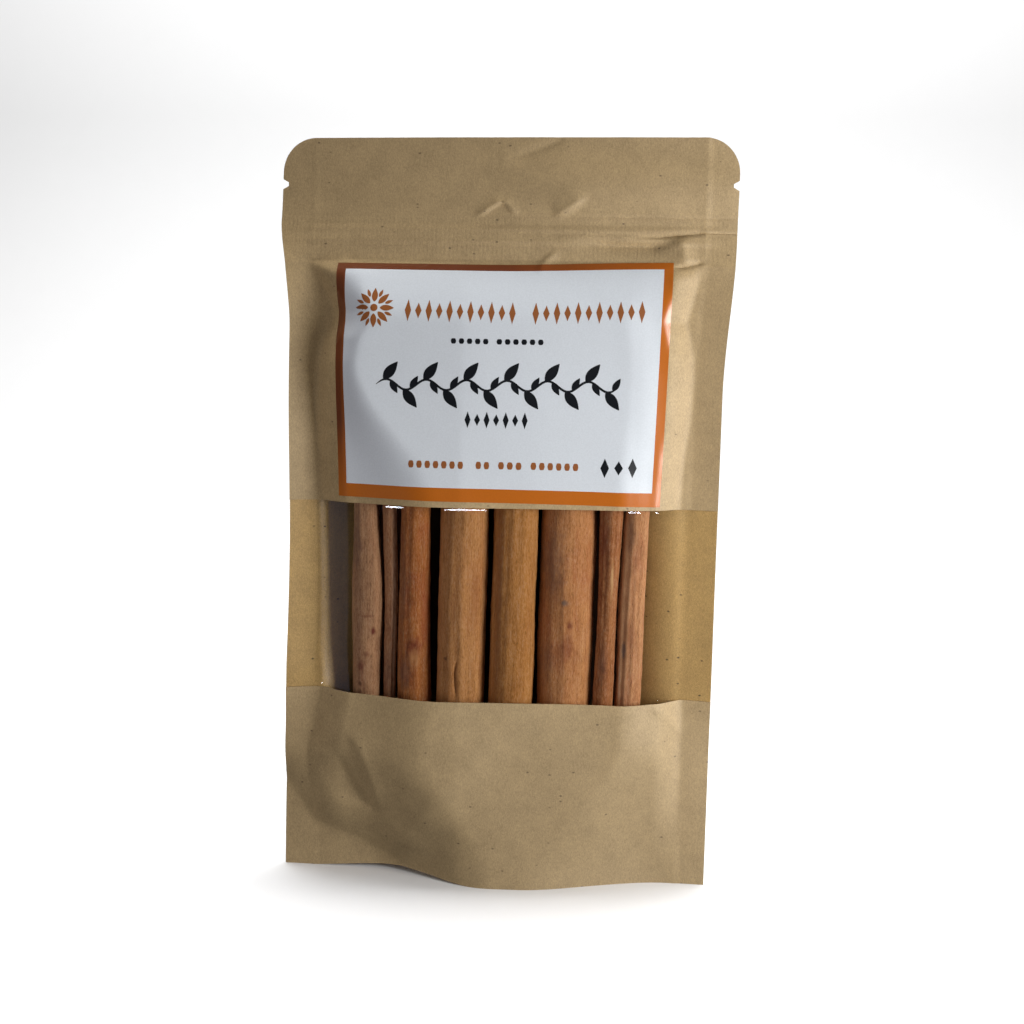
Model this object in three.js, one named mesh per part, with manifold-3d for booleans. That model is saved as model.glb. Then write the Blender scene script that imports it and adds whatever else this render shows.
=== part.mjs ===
// A shut stand-up pouch of kraft paper with a clear window band, a paper label and
// eight rolled cinnamon quills standing inside it.
// Millimetres. X runs across the pouch, Y from its front (-) to its back (+) and Z up.
// The side seals lie in the plane y = 0, and the pouch stands on z = 0.

import * as THREE from "three";
import { mergeVertices } from "three/addons/utils/BufferGeometryUtils.js";
import Module from "manifold-3d";

const wasm = await Module();
wasm.setup();

// ---------------------------------------------------------------- driving dimensions

const FIT_GAP = 0.3; // air between neighbouring pieces

const POUCH = {
  height: 200,
  flatWidth: 120, // an empty pouch laid flat
  sealWidth: 8, // each heat-sealed side strip
  sealHalf: 0.6, // half the thickness of a side or top seal
  wall: 0.6, // paper laminate, drawn thicker than the real sheet
  cornerRadius: 9,
};

// Filling the pouch draws its side edges in below the shoulder, and its foot opens out again.
const EDGE = {
  shoulder: 178,
  left: { drawIn: 2.8, drawRun: 28, flare: 2.0 },
  right: { drawIn: 2.5, drawRun: 45, flare: 0.2 },
  flareTop: 100,
};

const FRONT = {
  depth: 11, // how far the front stands off the seal plane
  leftRun: { low: 34, high: 13 }, // width of its rise from the left seal, by the window
  leftRunTo: 150, // and up here, where the outermost quill ends
  rightRun: 17,
  slackFrom: -10, // right of here the front sinks back a little,
  slackRun: 45,
  slack: { low: 0.25, high: 0.45 }, // by this share of its depth, below and above the window
};
// Beside each seal the front leaves at a crease and rounds over into a low bank.
const BANK = {
  left: { rise: { low: 3.8, high: 2.6 }, run: { low: 9, high: 5.5 }, fade: 18 },
  leftFrom: 112, // above here the left bank narrows,
  leftOver: 34, // over this height
  right: { rise: 2.8, run: 6.5, fade: 9 },
  top: 168.5,
  close: 5,
};
const BACK = { depth: 10.5, footDepth: 11.6, run: 28 };

// The foot of a stand-up pouch narrows to a boat shape.
const FOOT = { height: 42, leftPinch: 17, rightRun: 42, backPinch: 2 };

// Under the zip the bulge opens quickly over the shoulder and then slowly to full depth.
const BULGE = { top: 168, shoulderRun: 18, fullRun: 63, frontShoulder: 0.6, backShoulder: 0.9 };
const ZIP = { z: 174.5, flat: 1.6, foot: 2.8, proud: 0.5 };
const CAVITY = { left: -48.4, right: 48.6, least: 0.08 }; // least half depth, at its edges

const NOTCH = { z: 186.9, depth: 1.5, mouth: 2.6, floor: 1.0 };

// The folded bottom panel rises from the middle of the foot towards the side seals.
const GUSSET = { low: 2.5, flatHalf: 10, rise: 0.26, power: 1.3, reach: 47, slit: 0.15 };

const WINDOW = { bottom: 51.7, top: 103.4 };
const FILM = { thickness: 0.3 };
const LABEL = { left: -44.3, right: 43, bottom: 105.1, top: 166.2, thickness: 0.3 };

// Quills from left to right: x and radius at the window's lower and upper edge. The thin
// one stands further in from the front wall than the others.
const QUILLS = [
  { x: [-36.3, -36.5], radius: [3.8, 3.5] },
  { x: [-29.8, -29.6], radius: [1.7, 1.9], inset: 1.8 },
  { x: [-22.8, -22.4], radius: [4.5, 3.85] },
  { x: [-10.2, -9.5], radius: [6.55, 6.55] },
  { x: [3.45, 4.2], radius: [6.0, 5.85] },
  { x: [17.95, 18.3], radius: [7.35, 7.45] },
  { x: [28.9, 29.8], radius: [2.7, 3.0] },
  { x: [35.4, 36.5], radius: [3.55, 3.25] },
];
const QUILL = {
  length: 120,
  lengthSpread: 2, // neighbouring quills are cut a little longer or shorter
  bark: { least: 0.25, share: 0.17 }, // bark thickness, and its growth with the quill's radius
  turns: 1.14, // the bark rolls once round and overlaps itself
  tuck: 1.45, // how far the inner edge tucks under, in bark thicknesses
  tuckFrom: 0.75, // where in the turn the bark starts to tuck
  seamSwing: 0.5, // radians that a seam is turned from straight behind
  clear: 0.6, // air between a quill and the front wall it leans on
  bow: 0.25, // sideways bow at mid length
  step: { length: 2.4, seam: 3.1, bow: 5 }, // phase from one quill to the next
};

// How finely the faceted surfaces are divided.
const STEPS = {
  labelColumns: 22,
  footTop: 30,
  foot: 5,
  lower: 3,
  window: 4,
  upper: 4,
  shoulder: 6,
  corner: 8,
  scroll: 20,
  quill: 6,
  lean: [-0.9, -0.6, -0.3, 0, 0.3, 0.6, 0.9], // across a quill, in shares of its radius
};
const CUTTER = { over: 1, under: -2, reach: 40 }; // how far a cutter runs past what it cuts
const WELD = 1e-4; // vertices this close together are one

const COLOURS = {
  kraft: 0xa98e62,
  film: 0xdfe3e6,
  label: 0xe9ebee,
  bark: 0xa8764a,
};

// ---------------------------------------------------------------- the pouch's form

const clamp = THREE.MathUtils.clamp;
const lerp = THREE.MathUtils.lerp;

// 0 to 1 with level ends, for t from 0 to 1
function ease(t) {
  const s = clamp(t, 0, 1);
  return s * s * (3 - 2 * s);
}

// Half of the pouch's width on one side at a height.
function halfWidth(side, z) {
  const edge = EDGE[side];
  const drawn = edge.drawIn * ease((EDGE.shoulder - z) / edge.drawRun);
  const flared = edge.flare * ease((EDGE.flareTop - z) / EDGE.flareTop);
  return POUCH.flatWidth / 2 - drawn + flared;
}

// Distances of a point from the inner edges of the left and right side seals.
function fromSeals(x, z) {
  return {
    left: x + halfWidth("left", z) - POUCH.sealWidth,
    right: halfWidth("right", z) - POUCH.sealWidth - x,
  };
}

// 1 at the base, 0 above the foot
function footShare(z) {
  return 1 - ease(z / FOOT.height);
}

// Rises from 0 to 1 at once and levels out, for t from 0 to 1.
function crown(t) {
  return Math.sin((Math.PI / 2) * clamp(t, 0, 1));
}

function bulgeShare(z, shoulder) {
  const down = BULGE.top - z;
  const quick = crown(down / BULGE.shoulderRun);
  const slow = clamp(down / BULGE.fullRun, 0, 1);
  return shoulder * quick + (1 - shoulder) * slow;
}

// The press-to-close strip shows as a low rib across the pouch.
function zipRelief(z) {
  const off = Math.abs(z - ZIP.z);
  return ZIP.proud * clamp((ZIP.foot - off) / (ZIP.foot - ZIP.flat), 0, 1);
}

// The low banks along the two side seals. They die out towards the foot and the label's top.
function sideBanks(from, z) {
  const { left, right } = BANK;
  const up = ease((z - BANK.leftFrom) / BANK.leftOver);
  const run = lerp(left.run.low, left.run.high, up);
  const bank = (off, width, fade) => crown(off / width) * Math.exp(-Math.max(off - width, 0) / fade);
  const onLeft = lerp(left.rise.low, left.rise.high, up) * bank(from.left, run, left.fade);
  const onRight = right.rise * bank(from.right, right.run, right.fade);
  return ease((BANK.top - z) / BANK.close) * (1 - footShare(z)) * (onLeft + onRight);
}

// How far the front stands in front of the seal plane.
function frontDepth(x, z) {
  const foot = footShare(z);
  const from = fromSeals(x, z);
  const up = ease((z - WINDOW.top) / (FRONT.leftRunTo - WINDOW.top));
  const leftRun = lerp(FRONT.leftRun.low, FRONT.leftRun.high, up);
  const left = ease((from.left - FOOT.leftPinch * foot) / leftRun);
  const right = ease(from.right / lerp(FRONT.rightRun, FOOT.rightRun, foot));
  const past = clamp((x - FRONT.slackFrom) / FRONT.slackRun, 0, 1);
  const higher = clamp((z - WINDOW.bottom) / (WINDOW.top - WINDOW.bottom), 0, 1);
  const slack = past * lerp(FRONT.slack.low, FRONT.slack.high, higher);
  const belly = FRONT.depth * (1 - slack) * bulgeShare(z, BULGE.frontShoulder) * left * right;
  return POUCH.sealHalf + belly + sideBanks(from, z) + zipRelief(z);
}

// How far the back stands behind the seal plane.
function backDepth(x, z) {
  const foot = footShare(z);
  const from = fromSeals(x, z);
  const pinch = FOOT.backPinch * foot;
  const left = crown((from.left - pinch) / BACK.run);
  const right = crown((from.right - pinch) / BACK.run);
  const depth = lerp(BACK.depth, BACK.footDepth, foot);
  const share = bulgeShare(z, BULGE.backShoulder);
  return POUCH.sealHalf + depth * share * left * right + zipRelief(z);
}

// Height of the bottom panel across the foot.
function gussetHeight(x) {
  const out = Math.max(0, Math.abs(x) - GUSSET.flatHalf);
  return GUSSET.low + GUSSET.rise * out ** GUSSET.power;
}

// ---------------------------------------------------------------- solids

function spaced(from, to, steps) {
  return Array.from({ length: steps }, (_, i) => lerp(from, to, i / steps));
}

// A closed solid through sections, which are loops of the same number of points. Point i
// of a loop lies across it from point n - 1 - i, so a strip between them closes each end,
// and both faces split their quads the same way, which keeps a thin wall even.
// Seen along the way the sections go, a loop runs counter-clockwise.
function loft(sections) {
  const n = sections[0].length;
  const index = [];
  for (let s = 0; s + 1 < sections.length; s++)
    for (let i = 0; i < n; i++) {
      const a = s * n + i;
      const b = s * n + ((i + 1) % n);
      if (i < n / 2) index.push(a, a + n, b + n, a, b + n, b);
      else index.push(a, a + n, b, a + n, b + n, b);
    }
  const end = (sections.length - 1) * n;
  for (let i = 0; i + 1 < n - 1 - i; i++) {
    const j = n - 1 - i;
    index.push(i, i + 1, j);
    index.push(end + i, end + j, end + i + 1);
    if (i + 1 < j - 1) {
      index.push(i + 1, j - 1, j);
      index.push(end + i + 1, end + j, end + j - 1);
    }
  }
  const geometry = new THREE.BufferGeometry().setFromPoints(sections.flat());
  geometry.setIndex(index);
  geometry.computeVertexNormals();
  return geometry;
}

// A solid between a front and a back surface: columns are functions x(z) from left to
// right, rows are functions z(x) from bottom to top, or numbers.
function between(columns, rows, frontY, backY) {
  return loft(
    columns.map((column) => {
      const stations = rows.map((row) => {
        const z = typeof row === "number" ? row : row(column(0));
        return { x: column(Math.max(z, 0)), z };
      });
      const front = stations.map(({ x, z }) => new THREE.Vector3(x, frontY(x, Math.max(z, 0)), z));
      const back = stations.map(({ x, z }) => new THREE.Vector3(x, backY(x, Math.max(z, 0)), z));
      return [...front, ...back.reverse()];
    }),
  );
}

// The closed mesh of a three.js geometry as a solid that can be joined and cut.
function solidOf(geometry) {
  const bare = geometry.clone();
  bare.deleteAttribute("normal");
  bare.deleteAttribute("uv");
  const merged = mergeVertices(bare, WELD);
  return new wasm.Manifold(
    new wasm.Mesh({
      numProp: 3,
      vertProperties: new Float32Array(merged.attributes.position.array),
      triVerts: new Uint32Array(merged.index.array),
    }),
  );
}

function geometryOf(solid) {
  const mesh = solid.getMesh();
  const geometry = new THREE.BufferGeometry();
  geometry.setAttribute("position", new THREE.BufferAttribute(mesh.vertProperties, 3));
  geometry.setIndex(new THREE.BufferAttribute(mesh.triVerts, 1));
  geometry.computeVertexNormals();
  return geometry;
}

function cutFrom(geometry, tools) {
  const cut = tools.reduce((solid, tool) => solid.subtract(solidOf(tool)), solidOf(geometry));
  return geometryOf(cut);
}

// ---------------------------------------------------------------- the kraft pouch

const upright = (x) => () => x;
const leftEdge = (z) => -halfWidth("left", z);
const leftSeal = (z) => POUCH.sealWidth - halfWidth("left", z);
const rightSeal = (z) => halfWidth("right", z) - POUCH.sealWidth;
const rightEdge = (z) => halfWidth("right", z);
const labelColumns = spaced(LABEL.left, LABEL.right, STEPS.labelColumns)
  .concat(LABEL.right)
  .map(upright);
const fullColumns = [
  leftEdge,
  leftSeal,
  upright(CAVITY.left),
  ...labelColumns,
  upright((LABEL.right + CAVITY.right) / 2),
  upright(CAVITY.right),
  rightSeal,
  rightEdge,
];

const SHOULDER = BULGE.top - BULGE.shoulderRun;
const footRows = spaced(0, STEPS.footTop, STEPS.foot);
const lowerRows = spaced(STEPS.footTop, WINDOW.bottom, STEPS.lower);
const windowRows = spaced(WINDOW.bottom, WINDOW.top, STEPS.window);
const upperRows = spaced(WINDOW.top, SHOULDER, STEPS.upper);
const shoulderRows = spaced(SHOULDER, LABEL.top, STEPS.shoulder);
const headRows = [
  LABEL.top,
  BULGE.top,
  ZIP.z - ZIP.foot,
  ZIP.z - ZIP.flat,
  ZIP.z + ZIP.flat,
  ZIP.z + ZIP.foot,
  POUCH.height - POUCH.cornerRadius,
  POUCH.height,
];
const bodyRows = [...footRows, ...lowerRows, ...windowRows, ...upperRows, ...shoulderRows];

const frontFace = (x, z) => -frontDepth(x, z);
const backFace = (x, z) => backDepth(x, z);

// The hollow that holds the quills. Its rows close up towards the bottom panel, and from
// the window up they are the outside's own, so the wall keeps its thickness.
function cavity() {
  const columns = fullColumns.slice(2, -2);
  const lifted = [...footRows, ...lowerRows].map(
    (z) => (x) => lerp(gussetHeight(x) + POUCH.wall, WINDOW.bottom, z / WINDOW.bottom),
  );
  const rows = [...lifted, ...windowRows, ...upperRows, ...shoulderRows, LABEL.top];
  const inset = (depth) => Math.max(depth - POUCH.wall, CAVITY.least);
  return between(
    columns,
    rows,
    (x, z) => -inset(frontDepth(x, z)),
    (x, z) => inset(backDepth(x, z)),
  );
}

// The open recess under the bottom panel, between the front and back skirts.
function footRecess() {
  const columns = spaced(-GUSSET.reach, GUSSET.reach, STEPS.labelColumns)
    .concat(GUSSET.reach)
    .map(upright);
  const rows = [CUTTER.under, (x) => gussetHeight(x) / 2, gussetHeight];
  const inset = (depth) => Math.max(depth - POUCH.wall, GUSSET.slit);
  return between(
    columns,
    rows,
    (x, z) => -inset(frontDepth(x, z)),
    (x, z) => inset(backDepth(x, z)),
  );
}

// The band of front paper that the window replaces, down to the middle of the seals.
function windowCutter() {
  const deep = CUTTER.reach;
  const box = new THREE.BoxGeometry(2 * POUCH.flatWidth, deep, WINDOW.top - WINDOW.bottom);
  return box.translate(0, -deep / 2, (WINDOW.top + WINDOW.bottom) / 2);
}

// A flat outline in X and Z, cut right through the pouch from front to back.
function throughCutter(shape) {
  const cutter = new THREE.ExtrudeGeometry(shape, {
    depth: CUTTER.reach,
    bevelEnabled: false,
    curveSegments: STEPS.corner,
  });
  return cutter.rotateX(Math.PI / 2).translate(0, CUTTER.reach / 2, 0);
}

// What a rounded top corner leaves out of the square one; side is -1 left or 1 right.
function cornerCutter(side) {
  const half = POUCH.flatWidth / 2;
  const r = POUCH.cornerRadius;
  const shape = new THREE.Shape();
  shape.moveTo(side * half, POUCH.height - r);
  shape.absarc(
    side * (half - r),
    POUCH.height - r,
    r,
    side > 0 ? 0 : Math.PI,
    Math.PI / 2,
    side < 0,
  );
  shape.lineTo(side * (half - r), POUCH.height + CUTTER.over);
  shape.lineTo(side * (half + CUTTER.over), POUCH.height + CUTTER.over);
  shape.lineTo(side * (half + CUTTER.over), POUCH.height - r);
  shape.closePath();
  return throughCutter(shape);
}

// The small V-shaped tear notch in a side edge.
function notchCutter(side) {
  const edge = halfWidth(side > 0 ? "right" : "left", NOTCH.z);
  const outside = side * (edge + CUTTER.over);
  const shape = new THREE.Shape();
  shape.moveTo(outside, NOTCH.z - NOTCH.mouth / 2 - CUTTER.over);
  shape.lineTo(outside, NOTCH.z + NOTCH.mouth / 2 + CUTTER.over);
  shape.lineTo(side * (edge - NOTCH.depth), NOTCH.z + NOTCH.floor / 2);
  shape.lineTo(side * (edge - NOTCH.depth), NOTCH.z - NOTCH.floor / 2);
  shape.closePath();
  return throughCutter(shape);
}

function kraftPouch() {
  const pillow = between(fullColumns, [...bodyRows, ...headRows], frontFace, backFace);
  return cutFrom(pillow, [
    cavity(),
    footRecess(),
    windowCutter(),
    cornerCutter(-1),
    cornerCutter(1),
    notchCutter(-1),
    notchCutter(1),
  ]);
}

// ---------------------------------------------------------------- window film and label

function windowFilm() {
  const bottom = WINDOW.bottom + FIT_GAP;
  const top = WINDOW.top - FIT_GAP;
  const rows = [bottom, ...windowRows.slice(1), top];
  return between(fullColumns, rows, frontFace, (x, z) => FILM.thickness - frontDepth(x, z));
}

function paperLabel() {
  const rows = [LABEL.bottom, ...bodyRows.filter((z) => z > LABEL.bottom), LABEL.top];
  const off = (gap) => (x, z) => -frontDepth(x, z) - gap;
  return between(labelColumns, rows, off(FIT_GAP + LABEL.thickness), off(FIT_GAP));
}

// ---------------------------------------------------------------- cinnamon quills

// Bark thickness and the radius of the rolled bark's outer face at a share of its turn.
function scroll(radius, share) {
  const bark = QUILL.bark.least + QUILL.bark.share * radius;
  const turned = share * QUILL.turns;
  const tuck = QUILL.tuck * bark * ease((turned - QUILL.tuckFrom) / (1 - QUILL.tuckFrom));
  return { bark, outer: radius - tuck };
}

// The rolled section of a quill round its axis, outer face first, then inner face back.
function scrollLoop(centre, radius, seam) {
  const outer = [];
  const inner = [];
  for (let i = 0; i <= STEPS.scroll; i++) {
    const share = i / STEPS.scroll;
    const angle = seam - share * QUILL.turns * 2 * Math.PI;
    const ray = new THREE.Vector3(Math.cos(angle), Math.sin(angle), 0);
    const { bark, outer: r } = scroll(radius, share);
    outer.push(centre.clone().addScaledVector(ray, r));
    inner.push(centre.clone().addScaledVector(ray, r - bark));
  }
  return [...outer, ...inner.reverse()];
}

// Where the axis of a quill lies so that its round just clears the front wall.
function restingY(x, radius, z) {
  const insets = STEPS.lean.map((across) => {
    const reach = radius * Math.sqrt(1 - across * across);
    return reach + POUCH.wall + QUILL.clear - frontDepth(x + across * radius, z);
  });
  return Math.max(...insets);
}

function quill({ x, radius, inset = 0 }, order) {
  const alongWindow = (pair, z) =>
    lerp(pair[0], pair[1], (z - WINDOW.bottom) / (WINDOW.top - WINDOW.bottom));
  const outmost = Math.abs(x[0]) + radius[0];
  const foot = gussetHeight(outmost) + POUCH.wall + 2 * FIT_GAP;
  const length = QUILL.length + QUILL.lengthSpread * Math.sin(QUILL.step.length * order);
  const rings = spaced(0, 1, STEPS.quill).concat(1);
  const heightAt = (share) => foot + length * share;
  const restAt = (share) => {
    const z = heightAt(share);
    return inset + restingY(alongWindow(x, z), alongWindow(radius, z), z);
  };
  // The axis is straight: it stands off the wall at its foot and leans as far as it can.
  const footY = restAt(0);
  const lean = Math.max(...rings.slice(1).map((share) => (restAt(share) - footY) / share));
  const seam = Math.PI / 2 + QUILL.seamSwing * Math.sin(QUILL.step.seam * order);
  const loops = rings.map((share) => {
    const z = heightAt(share);
    const bow = QUILL.bow * Math.sin(Math.PI * share) * Math.sin(QUILL.step.bow * order);
    const centre = new THREE.Vector3(alongWindow(x, z) + bow, footY + lean * share, z);
    return scrollLoop(centre, alongWindow(radius, z), seam);
  });
  return loft(loops);
}

// ---------------------------------------------------------------- the assembled part

function material(colour, roughness) {
  return new THREE.MeshStandardMaterial({ color: colour, roughness, metalness: 0 });
}

function piece(name, geometry, finish) {
  const mesh = new THREE.Mesh(geometry, finish);
  mesh.name = name;
  return mesh;
}

const part = new THREE.Group();
part.add(piece("pouch", kraftPouch(), material(COLOURS.kraft, 0.75)));
part.add(piece("window_film", windowFilm(), material(COLOURS.film, 0.15)));
part.add(piece("label", paperLabel(), material(COLOURS.label, 0.3)));

const contents = new THREE.Group();
const bark = material(COLOURS.bark, 0.6);
QUILLS.forEach((row, i) => contents.add(piece(`stick_${i + 1}`, quill(row, i), bark)));
part.add(contents);

export default part;
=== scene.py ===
"""Dresses a packed stand-up pouch of cinnamon quills: kraft webs, clear window film, a paper
label and eight rolled quills, on a pale studio floor.

Shape functions work in millimetres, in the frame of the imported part: X across the pouch,
Y from its front (-) to its back (+), Z up. Meshes are made in metres.
"""

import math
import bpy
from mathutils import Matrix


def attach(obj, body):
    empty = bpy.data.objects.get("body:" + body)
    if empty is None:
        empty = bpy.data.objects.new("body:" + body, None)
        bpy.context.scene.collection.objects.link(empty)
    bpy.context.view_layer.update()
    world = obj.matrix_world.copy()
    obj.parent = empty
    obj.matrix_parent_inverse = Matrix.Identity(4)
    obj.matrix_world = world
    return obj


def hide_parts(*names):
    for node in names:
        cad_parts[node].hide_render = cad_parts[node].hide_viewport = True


bl_info = {
    "name": "Windowed Pouch of Cinnamon Quills",
    "version": (1, 0, 0),
    "blender": (4, 5, 0),
    "location": "3D View > Sidebar > Pouch",
    "description": "Builds a shut kraft stand-up pouch with a clear window over cinnamon quills",
    "category": "Add Mesh",
}

import bpy
import numpy as np
from mathutils import Matrix, Vector

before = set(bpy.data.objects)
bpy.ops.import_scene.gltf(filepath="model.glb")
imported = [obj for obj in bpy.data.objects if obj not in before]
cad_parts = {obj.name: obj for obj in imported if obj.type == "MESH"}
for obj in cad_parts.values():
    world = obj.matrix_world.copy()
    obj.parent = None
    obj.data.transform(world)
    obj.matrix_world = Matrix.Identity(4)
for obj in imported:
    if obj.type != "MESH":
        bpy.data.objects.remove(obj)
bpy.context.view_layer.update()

MM = 0.001  # metres in a millimetre
SEED = 11

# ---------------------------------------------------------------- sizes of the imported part, mm

HEIGHT = 200.0
FLAT_HALF = 60.0
SEAL_WIDTH = 8.0
SEAL_HALF = 0.35
SEAL_LEAST = 1.2  # width that a seal keeps where the outline cuts in
WALL = 0.6
WEB_GAP = 0.01  # between webs that lie on each other
CORNER = 9.0
EDGE = {
    "shoulder": 178.0,
    "left": {"draw_in": 2.8, "run": 28.0, "flare": 2.0},
    "right": {"draw_in": 2.5, "run": 45.0, "flare": 0.2},
    "flare_top": 100.0,
}
HEAD_FLARE = {"from": 166.0, "run": 12.0, "left": 1.0, "right": 0.0}
FRONT = {
    "depth": 11.0,
    "left_low": 34.0,
    "left_high": 13.0,
    "left_to": 142.0,
    "right_run": 17.0,
    "slack_from": -10.0,
    "slack_run": 45.0,
    "slack_low": 0.25,
    "slack_high": 0.45,
}
BACK = {
    "depth": 10.5,
    "foot_depth": 11.6,
    "run": 28.0,
    "flank": 2.0,
    "flank_run": 5.0,
    "flank_fade": 12.0,
    "coarser": 1.5,
}
FOOT = {"height": 42.0, "left_pinch": 17.0, "right_run": 42.0, "back_pinch": 2.0}
BULGE = {"top": 168.0, "shoulder_run": 18.0, "full_run": 63.0, "front": 0.6, "back": 0.9}
SIDE_BANKS = {
    "top": 168.5,
    "top_run": 5.0,
    "turn_from": 112.0,
    "turn_run": 34.0,
    "left_run": (9.0, 5.5),
    "left_rise": (3.8, 2.6),
    "left_fade": 18.0,
    "right_run": 6.5,
    "right_rise": 2.8,
    "right_fade": 9.0,
}
ZIP = {
    "z": 174.5,
    "flat": 1.6,
    "foot": 2.8,
    "proud": 0.35,
    "pressed": 0.08,
    "pressed_to": 2.0,
    "fine": (165.0, 184.0),
}
NOTCH = {"z": 187.8, "depth": 1.5, "mouth": 2.6, "floor": 1.0}
GUSSET = {
    "low": 2.5,
    "flat_half": 10.0,
    "rise": 0.26,
    "power": 1.3,
    "reach": 47.0,
    "clear": 0.03,
    "least": 0.1,
    "ridge": 0.7,
    "ridge_from": 6.0,
    "ridge_run": 20.0,
    "waves": (5, (9.0, 25.0), 0.08),
    "sheet": 0.3,
}
WINDOW = {"bottom": 51.7, "top": 103.4}
LABEL = {"left": -44.3, "right": 43.0, "bottom": 105.1, "top": 166.2}
FIT_GAP = 0.3
# How far each seal's inner edge wanders inwards: heights, then distances.
SEAL_WANDER = {
    "left": (
        (20, 34, 41, 48, 52, 62, 104, 119, 130, 141, 147, 151, 154, 158, 162, 165, 168, 172),
        (0, -1.6, 0, 1.2, 1.8, 0.8, -0.4, -1.3, -1.6, -1.0, 0.3, 2.7, 3.5, 1.9, 0.5, -1.0, -2.4, 0),
    ),
    "right": (
        (48, 90, 104, 111, 119, 127, 138, 144, 149, 152.5, 157, 163, 168),
        (0, 0.8, 2.0, 1.8, 1.1, 0.1, -0.3, 0.3, 1.6, 2.9, 2.0, 1.0, 0.2),
    ),
}

# Quills from left to right: x and radius at the window's lower and upper edge, how far the
# axis and the radius swell between them, and how much further in than the others it stands.
QUILLS = [
    {"x": (-36.5, -36.5), "r": (3.65, 3.15), "bend": 0.5, "swell": 0.85, "inset": 0.0},
    {"x": (-29.75, -29.6), "r": (1.6, 1.85), "bend": 0.54, "swell": 0.1, "inset": 1.8},
    {"x": (-22.85, -22.4), "r": (4.6, 3.8), "bend": -0.17, "swell": -0.1, "inset": 0.0},
    {"x": (-10.2, -9.5), "r": (6.55, 6.5), "bend": -0.35, "swell": 0.05, "inset": 0.0},
    {"x": (3.5, 4.2), "r": (6.0, 5.87), "bend": -0.05, "swell": 0.02, "inset": 0.0},
    {"x": (17.95, 18.3), "r": (7.35, 7.48), "bend": -0.05, "swell": 0.07, "inset": 0.0},
    {"x": (28.9, 29.85), "r": (2.75, 3.15), "bend": 0.1, "swell": -0.45, "inset": 0.0},
    {"x": (35.4, 36.5), "r": (3.6, 3.25), "bend": -0.25, "swell": 0.12, "inset": 0.0},
]
QUILL = {
    "length": 120.0,
    "length_spread": 2.0,
    "bark_least": 0.25,
    "bark_share": 0.17,
    "turns": 1.14,
    "tuck": 1.45,
    "tuck_from": 0.75,
    "seam_swing": 0.5,
    "clear": 0.6,
    "bow": 0.25,
    "swell_at": 77.5,
    "swell_width": 17.0,
    "zip_room": 0.5,
    "end_step": 0.35,
    "hidden_step": 2.2,
    "window_step": 0.55,
}

# ---------------------------------------------------------------- form of the pouch


def ease(t):
    """0 to 1 with level ends, for t from 0 to 1."""
    s = np.clip(t, 0.0, 1.0)
    return s * s * (3.0 - 2.0 * s)


def crown(t):
    """Rises at once from 0 and levels out at 1, for t from 0 to 1."""
    return np.sin(0.5 * np.pi * np.clip(t, 0.0, 1.0))


def mix(a, b, share):
    return a + (b - a) * share


def half_width(side, z):
    edge = EDGE[side]
    drawn = edge["draw_in"] * ease((EDGE["shoulder"] - z) / edge["run"])
    flared = edge["flare"] * ease((EDGE["flare_top"] - z) / EDGE["flare_top"])
    return FLAT_HALF - drawn + flared


def outline_half(side, z):
    """Half width of the cut outline, with its rounded top corner and tear notch."""
    over = np.clip(z - (HEIGHT - CORNER), 0.0, CORNER)
    flared = HEAD_FLARE[side] * ease((z - HEAD_FLARE["from"]) / HEAD_FLARE["run"])
    cornered = half_width(side, z) + flared - CORNER + np.sqrt(CORNER**2 - over**2)
    slope = (NOTCH["mouth"] - NOTCH["floor"]) / 2
    notch = np.clip((NOTCH["mouth"] / 2 - np.abs(z - NOTCH["z"])) / slope, 0.0, 1.0)
    return cornered - NOTCH["depth"] * notch


def from_seals(x, z):
    """Distance inwards from the inner edge of the left and the right seal, where the front
    leaves the back. The edge wanders in at the pinches beside the label."""
    left = x + half_width("left", z) - SEAL_WIDTH - np.interp(z, *SEAL_WANDER["left"])
    right = half_width("right", z) - SEAL_WIDTH - x - np.interp(z, *SEAL_WANDER["right"])
    return left, right


def foot_share(z):
    return 1.0 - ease(z / FOOT["height"])


def bulge_share(z, shoulder):
    down = BULGE["top"] - z
    quick = crown(down / BULGE["shoulder_run"])
    slow = np.clip(down / BULGE["full_run"], 0.0, 1.0)
    return shoulder * quick + (1.0 - shoulder) * slow


def zip_relief(x, z):
    """The zip's rib, pressed nearly flat in the side seals."""
    off = np.abs(z - ZIP["z"])
    rib = ZIP["proud"] * np.clip((ZIP["foot"] - off) / (ZIP["foot"] - ZIP["flat"]), 0.0, 1.0)
    from_edge = np.minimum(x + half_width("left", z), half_width("right", z) - x)
    return rib * mix(ZIP["pressed"], 1.0, ease((from_edge - ZIP["pressed_to"]) / SEAL_WIDTH))


def front_bulge(x, z):
    """How far the front stands in front of its seals."""
    foot = foot_share(z)
    from_left, from_right = from_seals(x, z)
    up = ease((z - WINDOW["top"]) / (FRONT["left_to"] - WINDOW["top"]))
    left = ease((from_left - FOOT["left_pinch"] * foot) / mix(FRONT["left_low"], FRONT["left_high"], up))
    right = ease(from_right / mix(FRONT["right_run"], FOOT["right_run"], foot))
    past = np.clip((x - FRONT["slack_from"]) / FRONT["slack_run"], 0.0, 1.0)
    higher = np.clip((z - WINDOW["bottom"]) / (WINDOW["top"] - WINDOW["bottom"]), 0.0, 1.0)
    slack = past * mix(FRONT["slack_low"], FRONT["slack_high"], higher)
    belly = FRONT["depth"] * (1.0 - slack) * bulge_share(z, BULGE["front"]) * left * right
    return belly + side_banks(from_left, from_right, z)


def flank(inwards, run, fade):
    """A rise to 1 that rounds over within its run from a seal and then fades out."""
    return crown(inwards / run) * np.exp(-np.maximum(inwards - run, 0.0) / fade)


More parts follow.
